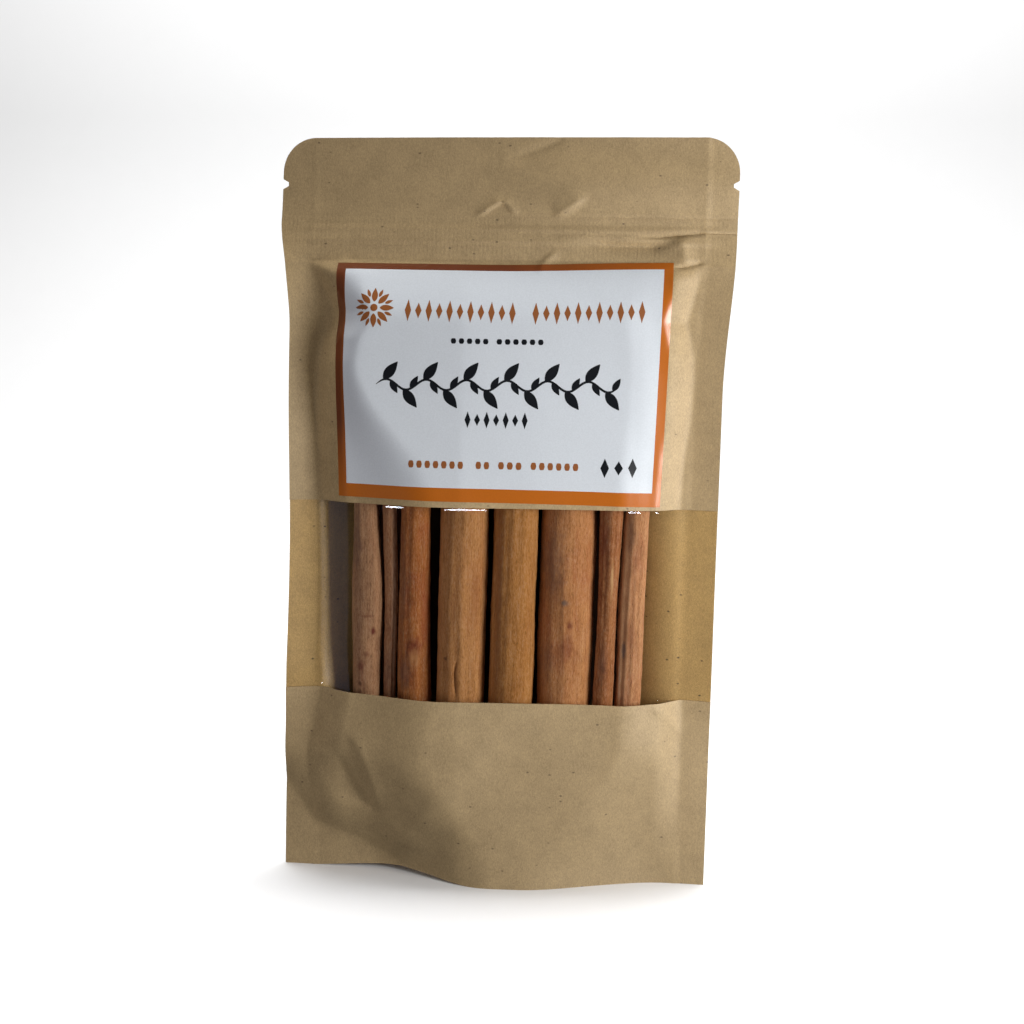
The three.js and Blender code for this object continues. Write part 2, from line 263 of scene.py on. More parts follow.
def side_banks(from_left, from_right, z):
    """The belly leaves the flat seals at a crease and rounds over soon. The left bank is wider
    and higher below the label than beside its top."""
    own = SIDE_BANKS
    filled = ease((own["top"] - z) / own["top_run"]) * (1.0 - foot_share(z))
    up = ease((z - own["turn_from"]) / own["turn_run"])
    left = flank(from_left, mix(*own["left_run"], up), own["left_fade"])
    right = flank(from_right, own["right_run"], own["right_fade"])
    return filled * (mix(*own["left_rise"], up) * left + own["right_rise"] * right)


def back_bulge(x, z):
    """How far the back stands behind its seals."""
    foot = foot_share(z)
    from_left, from_right = from_seals(x, z)
    pinch = FOOT["back_pinch"] * foot
    left = crown((from_left - pinch) / BACK["run"])
    right = ease((from_right - pinch) / BACK["run"])
    depth = mix(BACK["depth"], BACK["foot_depth"], foot)
    return depth * bulge_share(z, BULGE["back"]) * left * right


def gusset_height(x):
    """Height of the folded bottom panel across the foot."""
    out = np.maximum(0.0, np.abs(x) - GUSSET["flat_half"])
    return GUSSET["low"] + GUSSET["rise"] * out ** GUSSET["power"]


# ---------------------------------------------------------------- creases and waves


def path_distance(x, z, path):
    """Signed distance from a polyline, positive on the right of its way, and the share
    of its length at the nearest point."""
    points = np.array(path, float)
    spans = np.linalg.norm(np.diff(points, axis=0), axis=1)
    total = spans.sum()
    best = np.full(x.shape, 1e9)
    side = np.ones(x.shape)
    share = np.zeros(x.shape)
    run = 0.0
    for (ax, az), (bx, bz), span in zip(points[:-1], points[1:], spans):
        dx = (bx - ax) / span
        dz = (bz - az) / span
        along = np.clip((x - ax) * dx + (z - az) * dz, 0.0, span)
        off_x = x - ax - along * dx
        off_z = z - az - along * dz
        distance = np.hypot(off_x, off_z)
        nearer = distance < best
        best = np.where(nearer, distance, best)
        side = np.where(nearer, np.sign(off_x * dz - off_z * dx), side)
        share = np.where(nearer, (run + along) / total, share)
        run += span
    return best * np.where(side == 0, 1.0, side), share


def fold(x, z, path, height, right, left, taper):
    """A folded line: a sharp crest that falls away over its own run on each side of the
    path, and tapers off towards both ends."""
    distance, share = path_distance(x, z, path)
    run = np.where(distance > 0, right, left)
    return height * tapered(share, taper) * np.clip(1.0 - np.abs(distance) / run, 0.0, 1.0) ** 2


def bank(x, z, path, rise, run, fade, taper):
    """A bank on the right of the path: it starts at a sharp foot, rounds off at the top
    and fades out beyond."""
    distance, share = path_distance(x, z, path)
    over = np.maximum(distance - run, 0.0)
    return rise * tapered(share, taper) * crown(distance / run) * np.exp(-over / fade)


def tapered(share, taper):
    start, end = taper
    total = np.ones(share.shape)
    if start:
        total = total * ease(share / start)
    if end:
        total = total * ease((1.0 - share) / end)
    return total


def waves(x, z, seed, count, lengths, height):
    """Soft cockling: a few sine waves of random way and phase."""
    rng = np.random.default_rng(seed)
    total = np.zeros(x.shape)
    for _ in range(count):
        length = rng.uniform(*lengths)
        way = rng.uniform(0, math.pi)
        phase = rng.uniform(0, 2 * math.pi)
        total += np.sin(2 * math.pi * (x * math.cos(way) + z * math.sin(way)) / length + phase)
    return height * total / math.sqrt(count)


# Paths run upwards or from left to right, so that the right of a path is its right side or
# its lower side. Each row: path of (x, z), height, run on the right and on the left, and the
# shares of the path over which the fold tapers at its start and its end.
FOLDS = [
    # pinched folds above the zip
    ([(-8.6, 178.9), (-4.6, 181.6), (-1.4, 183.6)], 0.85, 0.9, 3.2, (0.4, 0.1)),
    ([(-1.4, 183.6), (0.6, 181.6), (2.6, 179.4)], 0.7, 1.1, 2.6, (0.1, 0.4)),
    ([(-1.7, 183.0), (-1.5, 186.4)], 0.16, 0.8, 0.8, (0.1, 0.5)),
    ([(11.5, 179.0), (16.4, 181.8), (21.5, 185.6)], 0.95, 2.3, 7.0, (0.3, 0.4)),
    ([(-3.3, 189.0), (-3.0, 199.0)], -0.12, 1.6, 0.7, (0.4, 0.0)),
    ([(-1.5, 193.5), (15.1, 199.8)], -0.5, 4.4, 2.6, (0.4, 0.2)),
    ([(-44.2, 169.6), (-43.4, 172.7), (-44.2, 176.0)], 0.2, 0.7, 0.7, (0.3, 0.3)),
    # the slack end of the zip on the right
    ([(30.0, 174.2), (41.0, 174.5), (46.0, 175.1), (52.5, 175.8)], -0.65, 0.9, 1.9, (0.5, 0.1)),
    ([(50.0, 175.6), (61.0, 175.7)], -0.3, 0.6, 0.7, (0.1, 0.0)),
    ([(14.0, 173.4), (29.6, 172.2), (37.4, 172.2), (44.5, 172.8)], -1.4, 6.0, 2.8, (0.5, 0.25)),
    ([(46.8, 166.0), (46.4, 171.0), (45.0, 175.0)], 1.6, 5.2, 10.0, (0.3, 0.3)),
    ([(43.0, 166.2), (47.9, 167.1), (52.0, 168.3)], -0.7, 1.3, 1.2, (0.3, 0.2)),
    ([(8.2, 164.8), (11.0, 168.6), (14.2, 171.2)], 0.6, 2.6, 1.6, (0.2, 0.4)),
    # pulled corner beside the label
    ([(-55.5, 168.2), (-50.3, 167.6), (-44.5, 167.2)], -0.4, 2.2, 1.4, (0.3, 0.3)),
    # the foot's curved seal, and the ridge that runs beside it
    (
        [(-30.0, 16.0), (-36.1, 21.6), (-39.0, 26.0), (-42.1, 31.8), (-46.2, 38.0)],
        -0.95,
        3.4,
        5.5,
        (0.3, 0.4),
    ),
    (
        [(-31.0, 17.6), (-32.6, 25.1), (-34.5, 31.7), (-37.4, 38.2), (-41.5, 42.5)],
        0.8,
        7.5,
        3.2,
        (0.3, 0.3),
    ),
    ([(-40.8, 36.8), (-38.4, 41.0)], -0.16, 0.9, 0.9, (0.4, 0.4)),
    ([(-36.0, 38.6), (-34.4, 33.8)], 0.16, 1.2, 1.2, (0.4, 0.4)),
    ([(41.0, 52.0), (46.4, 47.0), (50.6, 40.0)], 0.4, 2.4, 6.0, (0.2, 0.3)),
    # nicks
    ([(36.6, 22.5), (41.6, 22.9)], 0.09, 0.5, 0.5, (0.3, 0.3)),
    ([(-20.5, 39.9), (-16.8, 38.6)], -0.12, 0.8, 0.6, (0.3, 0.3)),
    ([(33.7, 51.6), (33.9, 46.6)], -0.14, 0.5, 0.5, (0.0, 0.4)),
    ([(40.5, 58.0), (42.0, 62.0)], 0.1, 0.8, 0.8, (0.3, 0.3)),
]
# The flat corner of the foot seal, with the belly banking up from it.
FOOT_BANK = {
    "path": [
        (-22.0, -2.0),
        (-30.7, 4.6),
        (-37.9, 8.6),
        (-45.1, 11.0),
        (-50.6, 13.0),
        (-54.2, 18.5),
        (-60.5, 26.5),
    ],
    "rise": 2.7,
    "run": 10.5,
    "fade": 30.0,
    "taper": (0.25, 0.0),
}
JOINED = {"run": 7.0, "from": 158.0, "rise": 9.0}
# Ridges at the seals' inner edges, and the zip's lines: height on the pouch, depth and width.
SEAL_LINES = {
    "left": 0.1,
    "left_width": 0.45,
    "right": 0.15,
    "right_out": 0.35,
    "right_in": 2.2,
    "head": 0.8,
    "head_from": 160.0,
    "head_run": 10.0,
    "zip": ((179.4, 0.2, 0.28), (174.9, 0.22, 0.35)),
    "zip_least": 0.2,
    "zip_from": -22.0,
    "zip_run": 60.0,
}
FLAP_CURL = {
    "left": 2.9,
    "left_power": 1.15,
    "right": 1.6,
    "right_power": 1.2,
    "beside": 1.3,
    "beside_at": 130.0,
    "beside_run": 20.0,
    "from": 36.0,
    "from_run": 24.0,
    "to": 176.0,
    "to_run": 20.0,
}
HEADER = {
    "from": 168.0,
    "ease_run": 8.0,
    "lean": 2.7,
    "lean_slope": 0.032,
    "bow": 0.0006,
    "bow_middle": -8.0,
    "bow_from": 167.0,
    "bow_run": 38.0,
    "swell": 1.9,
    "swell_from": -12.0,
    "swell_run": 36.0,
    "swell_at": 187.5,
    "swell_width": 7.5,
}
# Cockling of the paper: how many waves, their lengths and their height.
COCKLING = {"run": 10.0, "broad": (7, (22.0, 60.0), 0.1), "fine": (6, (7.0, 16.0), 0.018)}


def joined(x, z):
    """1 where the webs are sealed or lie on each other, 0 over the filled part."""
    nearest = np.minimum(*from_seals(x, z))
    return np.maximum(1.0 - ease(nearest / JOINED["run"]), ease((z - JOINED["from"]) / JOINED["rise"]))


def folds(x, z):
    """All the folds and the foot's bank together."""
    total = np.zeros(x.shape)
    for path, height, right, left, taper in FOLDS:
        total += fold(x, z, path, height, right, left, taper)
    return total + bank(x, z, **FOOT_BANK)


def seal_lines(x, z):
    """Thin ridges at the inner edges of the seals and lines along the zip."""
    own = SEAL_LINES
    left = x + half_width("left", z) - SEAL_WIDTH
    right = half_width("right", z) - SEAL_WIDTH - x
    head = 1.0 + own["head"] * ease((z - own["head_from"]) / own["head_run"])
    step = np.exp(np.minimum(right, 0.0) / own["right_out"] - np.maximum(right, 0.0) / own["right_in"])
    total = own["left"] * np.exp(-np.abs(left) / own["left_width"]) + own["right"] * head * step
    across = mix(own["zip_least"], 1.0, ease((x - own["zip_from"]) / own["zip_run"]))
    for height, depth, width in own["zip"]:
        total -= depth * across * np.exp(-np.abs(z - height) / width)
    return total


def flap_curl(x, z):
    """The seals' free edges curl forwards, the left one more, and most beside the label."""
    own = FLAP_CURL
    left = np.clip(-(x + half_width("left", z) - SEAL_WIDTH) / SEAL_WIDTH, 0.0, 1.0)
    right = np.clip((x - half_width("right", z) + SEAL_WIDTH) / SEAL_WIDTH, 0.0, 1.0)
    beside_label = own["beside"] * np.exp(-(((z - own["beside_at"]) / own["beside_run"]) ** 2))
    curl = (own["left"] + beside_label) * left ** own["left_power"]
    curl = curl + own["right"] * right ** own["right_power"]
    return curl * ease((z - own["from"]) / own["from_run"]) * ease((own["to"] - z) / own["to_run"])


def header_lean(x, z):
    """How far the joined webs above the zip lean back, more so on the left, bow back at the
    sides and swell forwards on the right."""
    own = HEADER
    up = z - own["from"]
    lean = (own["lean"] - own["lean_slope"] * x) * ease(up / own["ease_run"]) * up / (HEIGHT - own["from"])
    arch = np.sin(math.pi * np.clip((z - own["bow_from"]) / own["bow_run"], 0.0, 1.0))
    bow = own["bow"] * (x - own["bow_middle"]) ** 2 * arch
    level = np.exp(-(((z - own["swell_at"]) / own["swell_width"]) ** 2))
    swell = own["swell"] * ease((x - own["swell_from"]) / own["swell_run"]) * level
    return lean + bow - swell


def cockling(x, z, seed):
    """Waves of the paper: broad ones inside the seals, and fine ones all over."""
    from_left, from_right = from_seals(x, z)
    inside = ease(from_left / COCKLING["run"]) * ease(from_right / COCKLING["run"])
    broad = inside * waves(x, z, seed, *COCKLING["broad"])
    return broad + waves(x, z, seed + 1, *COCKLING["fine"])


def front_depth(x, z):
    """From the middle plane to the front paper's outer face."""
    return (
        SEAL_HALF
        + zip_relief(x, z)
        + front_bulge(x, z)
        + flap_curl(x, z)
        - header_lean(x, z)
        + folds(x, z)
        + seal_lines(x, z)
        + cockling(x, z, SEED)
    )


def front_y(x, z):
    """The front paper's outer face."""
    return -front_depth(x, z)


def back_y(x, z):
    """The back paper's outer face. Where the webs are joined, it goes with the front."""
    along = joined(x, z)
    own = zip_relief(x, z) + back_bulge(x, z) + (1.0 - along) * cockling(x, z, SEED + 2)
    from_left, _ = from_seals(x, z)
    own = own + (1.0 - along) * BACK["flank"] * flank(from_left, BACK["flank_run"], BACK["flank_fade"])
    with_front = folds(x, z) + flap_curl(x, z) - header_lean(x, z) + cockling(x, z, SEED)
    own = own - along * with_front
    return np.maximum(SEAL_HALF + own + seal_lines(x, z), front_y(x, z) + 2 * SEAL_HALF)


# ---------------------------------------------------------------- meshes


def spread(low, high, step, marks=()):
    """Evenly spaced values from low to high, about a step apart, with marks kept exact."""
    stops = sorted({low, high, *[m for m in marks if low < m < high]})
    values = []
    for a, b in zip(stops[:-1], stops[1:]):
        count = max(1, round((b - a) / step))
        values.extend(np.linspace(a, b, count, endpoint=False))
    return np.array(values + [high])


def web_grid(z_values, body_count, seal_count):
    """X and Z of a full-width grid whose columns follow the seals and the cut outline."""
    z = z_values[:, None]
    columns = []
    for side, sign in (("left", -1.0), ("right", 1.0)):
        edge = outline_half(side, z)
        seal = np.minimum(half_width(side, z) - SEAL_WIDTH, edge - SEAL_LEAST)
        columns.append((sign * edge, sign * seal))
    (left_edge, left_seal), (right_edge, right_seal) = columns
    seal_share = np.linspace(0.0, 1.0, seal_count, endpoint=False)[None, :]
    body_share = np.linspace(0.0, 1.0, body_count, endpoint=False)[None, :]
    last_share = np.linspace(0.0, 1.0, seal_count + 1)[None, :]
    x = np.concatenate(
        [
            mix(left_edge, left_seal, seal_share),
            mix(left_seal, right_seal, body_share),
            mix(right_seal, right_edge, last_share),
        ],
        axis=1,
    )
    return x, np.broadcast_to(z, x.shape).copy()


def shell(outer, inner, outer_index=0, inner_index=1, rim_index=0):
    """Vertices, faces and material indices of a closed sheet between two grids of points."""
    rows, cols, _ = outer.shape
    count = rows * cols
    ids = np.arange(count).reshape(rows, cols)
    a = ids[:-1, :-1].ravel()
    b = ids[:-1, 1:].ravel()
    c = ids[1:, 1:].ravel()
    d = ids[1:, :-1].ravel()
    faces = [np.stack([a, b, c, d], 1), np.stack([d, c, b, a], 1) + count]
    ring = np.concatenate([ids[0, :], ids[1:, -1], ids[-1, -2::-1], ids[-2:0:-1, 0]])
    nxt = np.roll(ring, -1)
    faces.append(np.stack([nxt, ring, ring + count, nxt + count], 1))
    kinds = np.concatenate(
        [np.full(len(part), index) for part, index in zip(faces, (outer_index, inner_index, rim_index))]
    )
    points = np.concatenate([outer.reshape(-1, 3), inner.reshape(-1, 3)])
    return points, np.concatenate(faces), kinds


def stacked(x, y, z):
    return np.stack([x, y, z], axis=-1)


def shine_on(slot):
    """The collection of the pieces that a light for this finish shines on."""
    name = f"shine_on_{slot}"
    return bpy.data.collections.get(name) or bpy.data.collections.new(name)


def make_piece(name, parts, materials, slot, *nodes):
    """One mesh object from closed shells in mm, riding on the frame and standing for nodes."""
    points = []
    faces = []
    kinds = []
    start = 0
    for part_points, part_faces, part_kinds in parts:
        points.append(part_points * MM)
        faces.append(part_faces + start)
        kinds.append(part_kinds)
        start += len(part_points)
    mesh = bpy.data.meshes.new(name)
    mesh.from_pydata(np.concatenate(points).tolist(), [], np.concatenate(faces).tolist())
    for material in materials:
        mesh.materials.append(material)
    mesh.polygons.foreach_set("material_index", np.concatenate(kinds).astype(np.int32))
    mesh.polygons.foreach_set("use_smooth", np.ones(len(mesh.polygons), bool))
    mesh.update()
    mesh.validate()
    mesh.set_sharp_from_angle(angle=math.radians(50))
    piece = bpy.data.objects.new(name, mesh)
    bpy.context.scene.collection.objects.link(piece)
    if slot != "cinnamon_bark":
        shine_on(slot).objects.link(piece)
    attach(piece, "root")
    if nodes:
        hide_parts(*nodes)
    return piece


# ---------------------------------------------------------------- shader helpers


class Tree:
    """A node tree that is filled by short calls."""

    def __init__(self, tree):
        self.tree = tree

    def add(self, kind, inputs=None, **settings):
        node = self.tree.nodes.new(kind)
        for key, value in settings.items():
            setattr(node, key, value)
        for key, value in (inputs or {}).items():
            self.put(node.inputs[key], value)
        return node

    def put(self, socket, value):
        if isinstance(value, bpy.types.NodeSocket):
            self.tree.links.new(value, socket)
        elif socket.type == "RGBA" and len(value) == 3:
            socket.default_value = (*value, 1.0)
        else:
            socket.default_value = value

    def math(self, operation, a, b=0.0, c=0.0, clamp=False):
        node = self.add("ShaderNodeMath", {0: a, 1: b, 2: c}, operation=operation, use_clamp=clamp)
        return node.outputs[0]

    def product(self, first, *others):
        for other in others:
            first = self.math("MULTIPLY", first, other)
        return first

    def weighted(self, *pairs):
        """The sum of values, each times its weight."""
        value, weight = pairs[-1]
        total = self.math("MULTIPLY", value, weight)
        for value, weight in reversed(pairs[:-1]):
            total = self.math("MULTIPLY_ADD", value, weight, total)
        return total

    def noise(self, vector, scale, detail=2.0, rough=0.5, distortion=0.0):
        inputs = {
            "Vector": vector,
            "Scale": scale,
            "Detail": detail,
            "Roughness": rough,
            "Distortion": distortion,
        }
        return self.add("ShaderNodeTexNoise", inputs).outputs["Fac"]

    def remap(self, value, low, high, to_low=0.0, to_high=1.0):
        inputs = {
            "Value": value,
            "From Min": low,
            "From Max": high,
            "To Min": to_low,
            "To Max": to_high,
        }
        return self.add("ShaderNodeMapRange", inputs, clamp=True).outputs[0]

    def blend(self, share, a, b, mode="MIX"):
        node = self.add("ShaderNodeMix", data_type="RGBA", blend_type=mode, clamp_factor=True)
        self.put(node.inputs[0], share)
        self.put(node.inputs[6], a)
        self.put(node.inputs[7], b)
        return node.outputs[2]

    def scaled(self, vector, scale):
        return self.add("ShaderNodeMapping", {"Vector": vector, "Scale": scale}).outputs[0]

    def group(self, name, make, inputs):
        """The outputs of a shared node group, which is made on its first use."""
        shared = bpy.data.node_groups.get(name) or make()
        return self.add("ShaderNodeGroup", inputs, node_tree=shared).outputs


def new_group(name, inputs, outputs):
    """A shader group with named sockets: (name, kind, default) in, (name, kind) out."""
    group = bpy.data.node_groups.new(name, "ShaderNodeTree")
    for label, kind, default in inputs:
        socket = group.interface.new_socket(name=label, in_out="INPUT", socket_type=f"NodeSocket{kind}")
        if default is not None:
            socket.default_value = default
    for label, kind in outputs:
        group.interface.new_socket(name=label, in_out="OUTPUT", socket_type=f"NodeSocket{kind}")
    tree = Tree(group)
    entry = tree.add("NodeGroupInput").outputs
    leave = tree.add("NodeGroupOutput").inputs
    return group, tree, entry, leave


def new_material(name):
    material = bpy.data.materials.new(name)
    material.use_nodes = True
    material.node_tree.nodes.clear()
    tree = Tree(material.node_tree)
    surface = tree.add("ShaderNodeOutputMaterial").inputs["Surface"]
    place = tree.add("ShaderNodeTexCoord").outputs["Object"]
    return material, tree, surface, place


def coat(tree, surface, colour, roughness, height, bump, depth, specular=0.5):
    """A bumped skin on the material's surface."""
    normal = tree.add("ShaderNodeBump", {"Strength": bump, "Distance": depth, "Height": height})
    inputs = {"Base Color": colour, "Roughness": roughness, "Normal": normal.outputs[0]}
    skin = tree.add("ShaderNodeBsdfPrincipled", inputs)
    skin.inputs["Specular IOR Level"].default_value = specular
    tree.put(surface, skin.outputs[0])


def paper_fibre_group():
    """Pulp fibres, cloudiness and dark specks of brown paper. Vector in metres."""
    inputs = [
        ("Vector", "Vector", None),
        ("Light", "Color", (0.5, 0.4, 0.25, 1)),
        ("Dark", "Color", (0.3, 0.22, 0.12, 1)),
        ("Speck", "Color", (0.1, 0.06, 0.04, 1)),
        ("Specks", "Float", 1.0),
    ]
    group, tree, entry, leave = new_group("paper_fibre", inputs, [("Color", "Color"), ("Height", "Float")])
    vector = entry["Vector"]
    fine = tree.noise(tree.scaled(vector, (1.0, 1.0, 2.2)), 3600.0, 3.0, 0.65)
    grain = tree.noise(tree.scaled(vector, (2.0, 1.0, 0.9)), 1700.0, 3.0, 0.65, 0.3)
    cloud = tree.noise(vector, 170.0, 3.0, 0.6)
    both = tree.weighted((fine, 0.5), (grain, 0.5))
    mottle = tree.weighted((cloud, 0.18), (both, 0.82))
    base = tree.blend(tree.remap(mottle, 0.38, 0.62), entry["Dark"], entry["Light"])
    lying = tree.scaled(vector, (1.0, 1.0, 1.6))
    cells = tree.add("ShaderNodeTexVoronoi", {"Vector": lying, "Scale": 330.0, "Randomness": 1.0}).outputs
    pick = tree.add("ShaderNodeSeparateColor", {"Color": cells["Color"]}).outputs[0]
    chosen = tree.math("LESS_THAN", pick, 0.15)
    spot = tree.remap(cells["Distance"], 0.05, 0.17, 1.0, 0.0)
    speck = tree.product(chosen, spot, entry["Specks"])
    tree.put(leave["Color"], tree.blend(speck, base, entry["Speck"]))
    tree.put(leave["Height"], tree.weighted((both, 1.0), (cloud, 0.4)))
    return group


def zip_ribs_group():
    """Fine upright ribs that the zip presses into the webs. Vector in metres."""
    inputs = [("Vector", "Vector", None)]
    group, tree, entry, leave = new_group("zip_ribs", inputs, [("Height", "Float")])
    x, _, z = tree.add("ShaderNodeSeparateXYZ", {"Vector": entry["Vector"]}).outputs
    sway = tree.weighted((tree.noise(entry["Vector"], 120.0, 2.0), 3.0), (x, 5460.0))
    low = tree.remap(z, 0.1665, 0.1695)
    high = tree.remap(z, 0.1785, 0.1805, 1.0, 0.0)
    tree.put(leave["Height"], tree.product(tree.math("SINE", sway), low, high))
    return group


# Noises of the bark: how far each is drawn out along the quill, then its scale, detail,
# roughness and distortion.
BARK_NOISES = {
    "fibre": (0.2, 3300.0, 2.0, 0.6, 0.2),
    "streak": (0.07, 900.0, 3.0, 0.6, 0.4),
    "band": (0.12, 240.0, 2.0, 0.5, 0.4),
    "skin": (0.7, 1500.0, 3.0, 0.6, 0.3),
    "cloud": (0.4, 260.0, 4.0, 0.62, 0.8),
    "patch": (0.5, 170.0, 3.0, 0.6, 0.6),
    "fine": (0.25, 4200.0, 3.0, 0.7, 0.1),
    "hair": (0.05, 2200.0, 2.0, 0.6, 0.3),
}


def bark_grain_group():
    """Bark of a rolled quill: fibres along Z, mottled patches, specks and pale scuffs."""
    inputs = [
        ("Vector", "Vector", None),
        ("Base", "Color", (0.35, 0.15, 0.06, 1)),
        ("Pale", "Color", (0.5, 0.28, 0.13, 1)),
        ("Deep", "Color", (0.16, 0.05, 0.02, 1)),
        ("Red", "Color", (0.25, 0.06, 0.03, 1)),
        ("Mottle", "Float", 0.5),
        ("Scuff", "Color", (0.55, 0.36, 0.23, 1)),
        ("Reddening", "Float", 0.3),
    ]
    group, tree, entry, leave = new_group("bark_grain", inputs, [("Color", "Color"), ("Height", "Float")])
    noise = {}
    for name, (along, *rest) in BARK_NOISES.items():
        noise[name] = tree.noise(tree.scaled(entry["Vector"], (1.0, 1.0, along)), *rest)
    pale = tree.weighted((noise["band"], 0.35), (noise["fibre"], 0.4), (noise["streak"], 0.25))
    colour = tree.blend(tree.remap(pale, 0.38, 0.62), entry["Base"], entry["Pale"])
    dark = tree.product(tree.remap(noise["cloud"], 0.48, 0.68), entry["Mottle"], 0.6)
    colour = tree.blend(dark, colour, entry["Deep"])
    red = tree.product(tree.remap(noise["patch"], 0.48, 0.66), entry["Reddening"], 0.6)
    colour = tree.blend(red, colour, entry["Red"])
    groove = tree.product(tree.remap(noise["streak"], 0.3, 0.38, 1.0, 0.0), 0.3)
    speck = tree.product(tree.remap(noise["skin"], 0.6, 0.7), 0.35)
    colour = tree.blend(tree.math("MAXIMUM", groove, speck), colour, entry["Deep"])
    both = tree.weighted((noise["fine"], 0.65), (noise["hair"], 0.35))
    shade = tree.remap(both, 0.34, 0.5, 0.55, 1.0)
    grey = tree.add("ShaderNodeCombineColor", {0: shade, 1: shade, 2: shade}).outputs[0]
    colour = tree.blend(1.0, colour, grey, "MULTIPLY")
    scuffed = tree.remap(both, 0.5, 0.66, 0.0, 0.4)
    tree.put(leave["Color"], tree.blend(scuffed, colour, entry["Scuff"]))
    height = tree.weighted((noise["skin"], 0.4), (noise["fibre"], 0.3), (noise["streak"], 0.3))
    tree.put(leave["Height"], tree.math("SUBTRACT", height, tree.product(groove, 0.2)))
    return group


def bark_mark_group():
    """A soft-edged oval mark at a place on the bark. Centre and Size are in metres."""
    inputs = [
        ("Vector", "Vector", None),
        ("Centre", "Vector", (0.0, 0.0, 0.0)),
        ("Size", "Vector", (0.002, 1.0, 0.005)),
        ("Color", "Color", (0.5, 0.5, 0.5, 1)),
        ("Mark", "Color", (0.1, 0.05, 0.03, 1)),
        ("Strength", "Float", 0.5),
    ]
    group, tree, entry, leave = new_group("bark_mark", inputs, [("Color", "Color")])
    vector = entry["Vector"]
    shift = tree.add("ShaderNodeVectorMath", {0: vector, 1: entry["Centre"]}, operation="SUBTRACT").outputs[0]
    ratio = tree.add("ShaderNodeVectorMath", {0: shift, 1: entry["Size"]}, operation="DIVIDE").outputs[0]
    reach = tree.add("ShaderNodeVectorMath", {0: ratio}, operation="LENGTH").outputs["Value"]
    ragged = tree.noise(tree.scaled(vector, (1.0, 1.0, 0.5)), 900.0, 3.0, 0.6)
    edge = tree.math("MULTIPLY_ADD", tree.math("SUBTRACT", ragged, 0.5), 1.6, reach)
    mask = tree.math("MULTIPLY", tree.remap(edge, 0.35, 1.15, 1.0, 0.0), entry["Strength"])
    tree.put(leave["Color"], tree.blend(mask, entry["Color"], entry["Mark"]))
    return group


# Where the painted shade behind the quills fades in or out across a web: x from and to in metres,
# and the share of painted shade at each. The last row is over z instead, above the foot.
PAINTED_SHADE = {
    "side": (-0.0472, -0.0438, 0.0, 0.16),
    "left": (-0.0398, -0.0372, 0.0, 1.0),
    "right": (0.0355, 0.0385, 1.0, 0.0),
    "beyond": (0.0395, 0.0450, 0.22, 0.0),
    "above": (0.0400, 0.0490, 0.0, 1.0),
}


def paint_shade(tree, place, colour, painted_shade):
    """Painted shade: darkens the stretch of a web that lies behind the quills, above the foot, where the
    quills' shadow falls.
    """
    x, _, z = tree.add("ShaderNodeSeparateXYZ", {"Vector": place}).outputs
    ragged = tree.math("MULTIPLY", tree.noise(place, 300.0, 2.0), 0.002)
    inwards = tree.math("ADD", x, ragged)
    side = tree.remap(inwards, *PAINTED_SHADE["side"])
    left = tree.remap(inwards, *PAINTED_SHADE["left"])
    right = tree.remap(inwards, *PAINTED_SHADE["right"])
    beyond = tree.remap(inwards, *PAINTED_SHADE["beyond"])
    behind = tree.product(tree.math("MAXIMUM", side, left), right)
    most = tree.math("MAXIMUM", behind, tree.product(left, beyond))
    return tree.blend(tree.product(most, tree.remap(z, *PAINTED_SHADE["above"])), colour, painted_shade)


def paper_material(name, light, dark, speck, specks, roughness, bump, painted_shade=None):
    """Fibrous paper with the zip's ribs in it, and painted shade on it where a colour for that shade is
    given.
    """
    material, tree, surface, place = new_material(name)
    given = {"Vector": place, "Light": light, "Dark": dark, "Speck": speck, "Specks": specks}
    fibre = tree.group("paper_fibre", paper_fibre_group, given)
    colour = fibre["Color"]
    # Painted shade behind the quills, where a colour for it is given
    if painted_shade is not None:
        colour = paint_shade(tree, place, colour, painted_shade)
    ribs = tree.group("zip_ribs", zip_ribs_group, {"Vector": place})
    height = tree.math("MULTIPLY_ADD", ribs["Height"], 0.25, fibre["Height"])
    rough = tree.remap(fibre["Height"], 0.4, 1.0, roughness + 0.06, roughness - 0.06)
    coat(tree, surface, colour, rough, height, bump, 0.00012, 0.35)
    return material


# ---------------------------------------------------------------- settings


def colour_prop(label, note, default):
    return bpy.props.FloatVectorProperty(
        name=label, description=note, default=default, subtype="COLOR", size=3, min=0.0, max=1.0
    )


def length_prop(label, note, default):
    return bpy.props.FloatProperty(
        name=label, description=note, default=default, unit="LENGTH", precision=5
    )


def strength_prop(label, note, default):
    return bpy.props.FloatProperty(name=label, description=note, default=default)


class PouchSettings(bpy.types.PropertyGroup):
    """Sizes and colours of the kraft pouch."""

    paper: length_prop("Paper", "Thickness of the paper web", 0.00033)
    mesh_step: length_prop("Mesh Step", "Spacing of the paper's vertices", 0.0008)
    kraft_light: colour_prop("Kraft Light", "Brightest pulp of the brown paper", (0.505, 0.36, 0.183))
    kraft_dark: colour_prop("Kraft Dark", "Darkest pulp of the brown paper", (0.305, 0.215, 0.107))
    speck: colour_prop("Specks", "Bark specks in the pulp", (0.1, 0.065, 0.04))
    lining: colour_prop("Lining", "Inner face of the webs", (0.64, 0.41, 0.155))
    # Painted shade: the colour that darkens the lining behind and between the quills
    painted_shade: colour_prop("Dust", "Bark dust on the lining behind the quills", (0.05, 0.02, 0.01))


class FilmSettings(bpy.types.PropertyGroup):
    """The clear window."""

    thickness: length_prop("Thickness", "Thickness of the film", 0.0002)
    haze: bpy.props.FloatProperty(
        name="Haze",
        description="Share of the light that the film scatters",
        default=0.01,
        subtype="FACTOR",
        min=0,
        max=1,
    )
    tint: colour_prop("Tint", "Colour of the film's haze", (0.85, 0.9, 1.0))


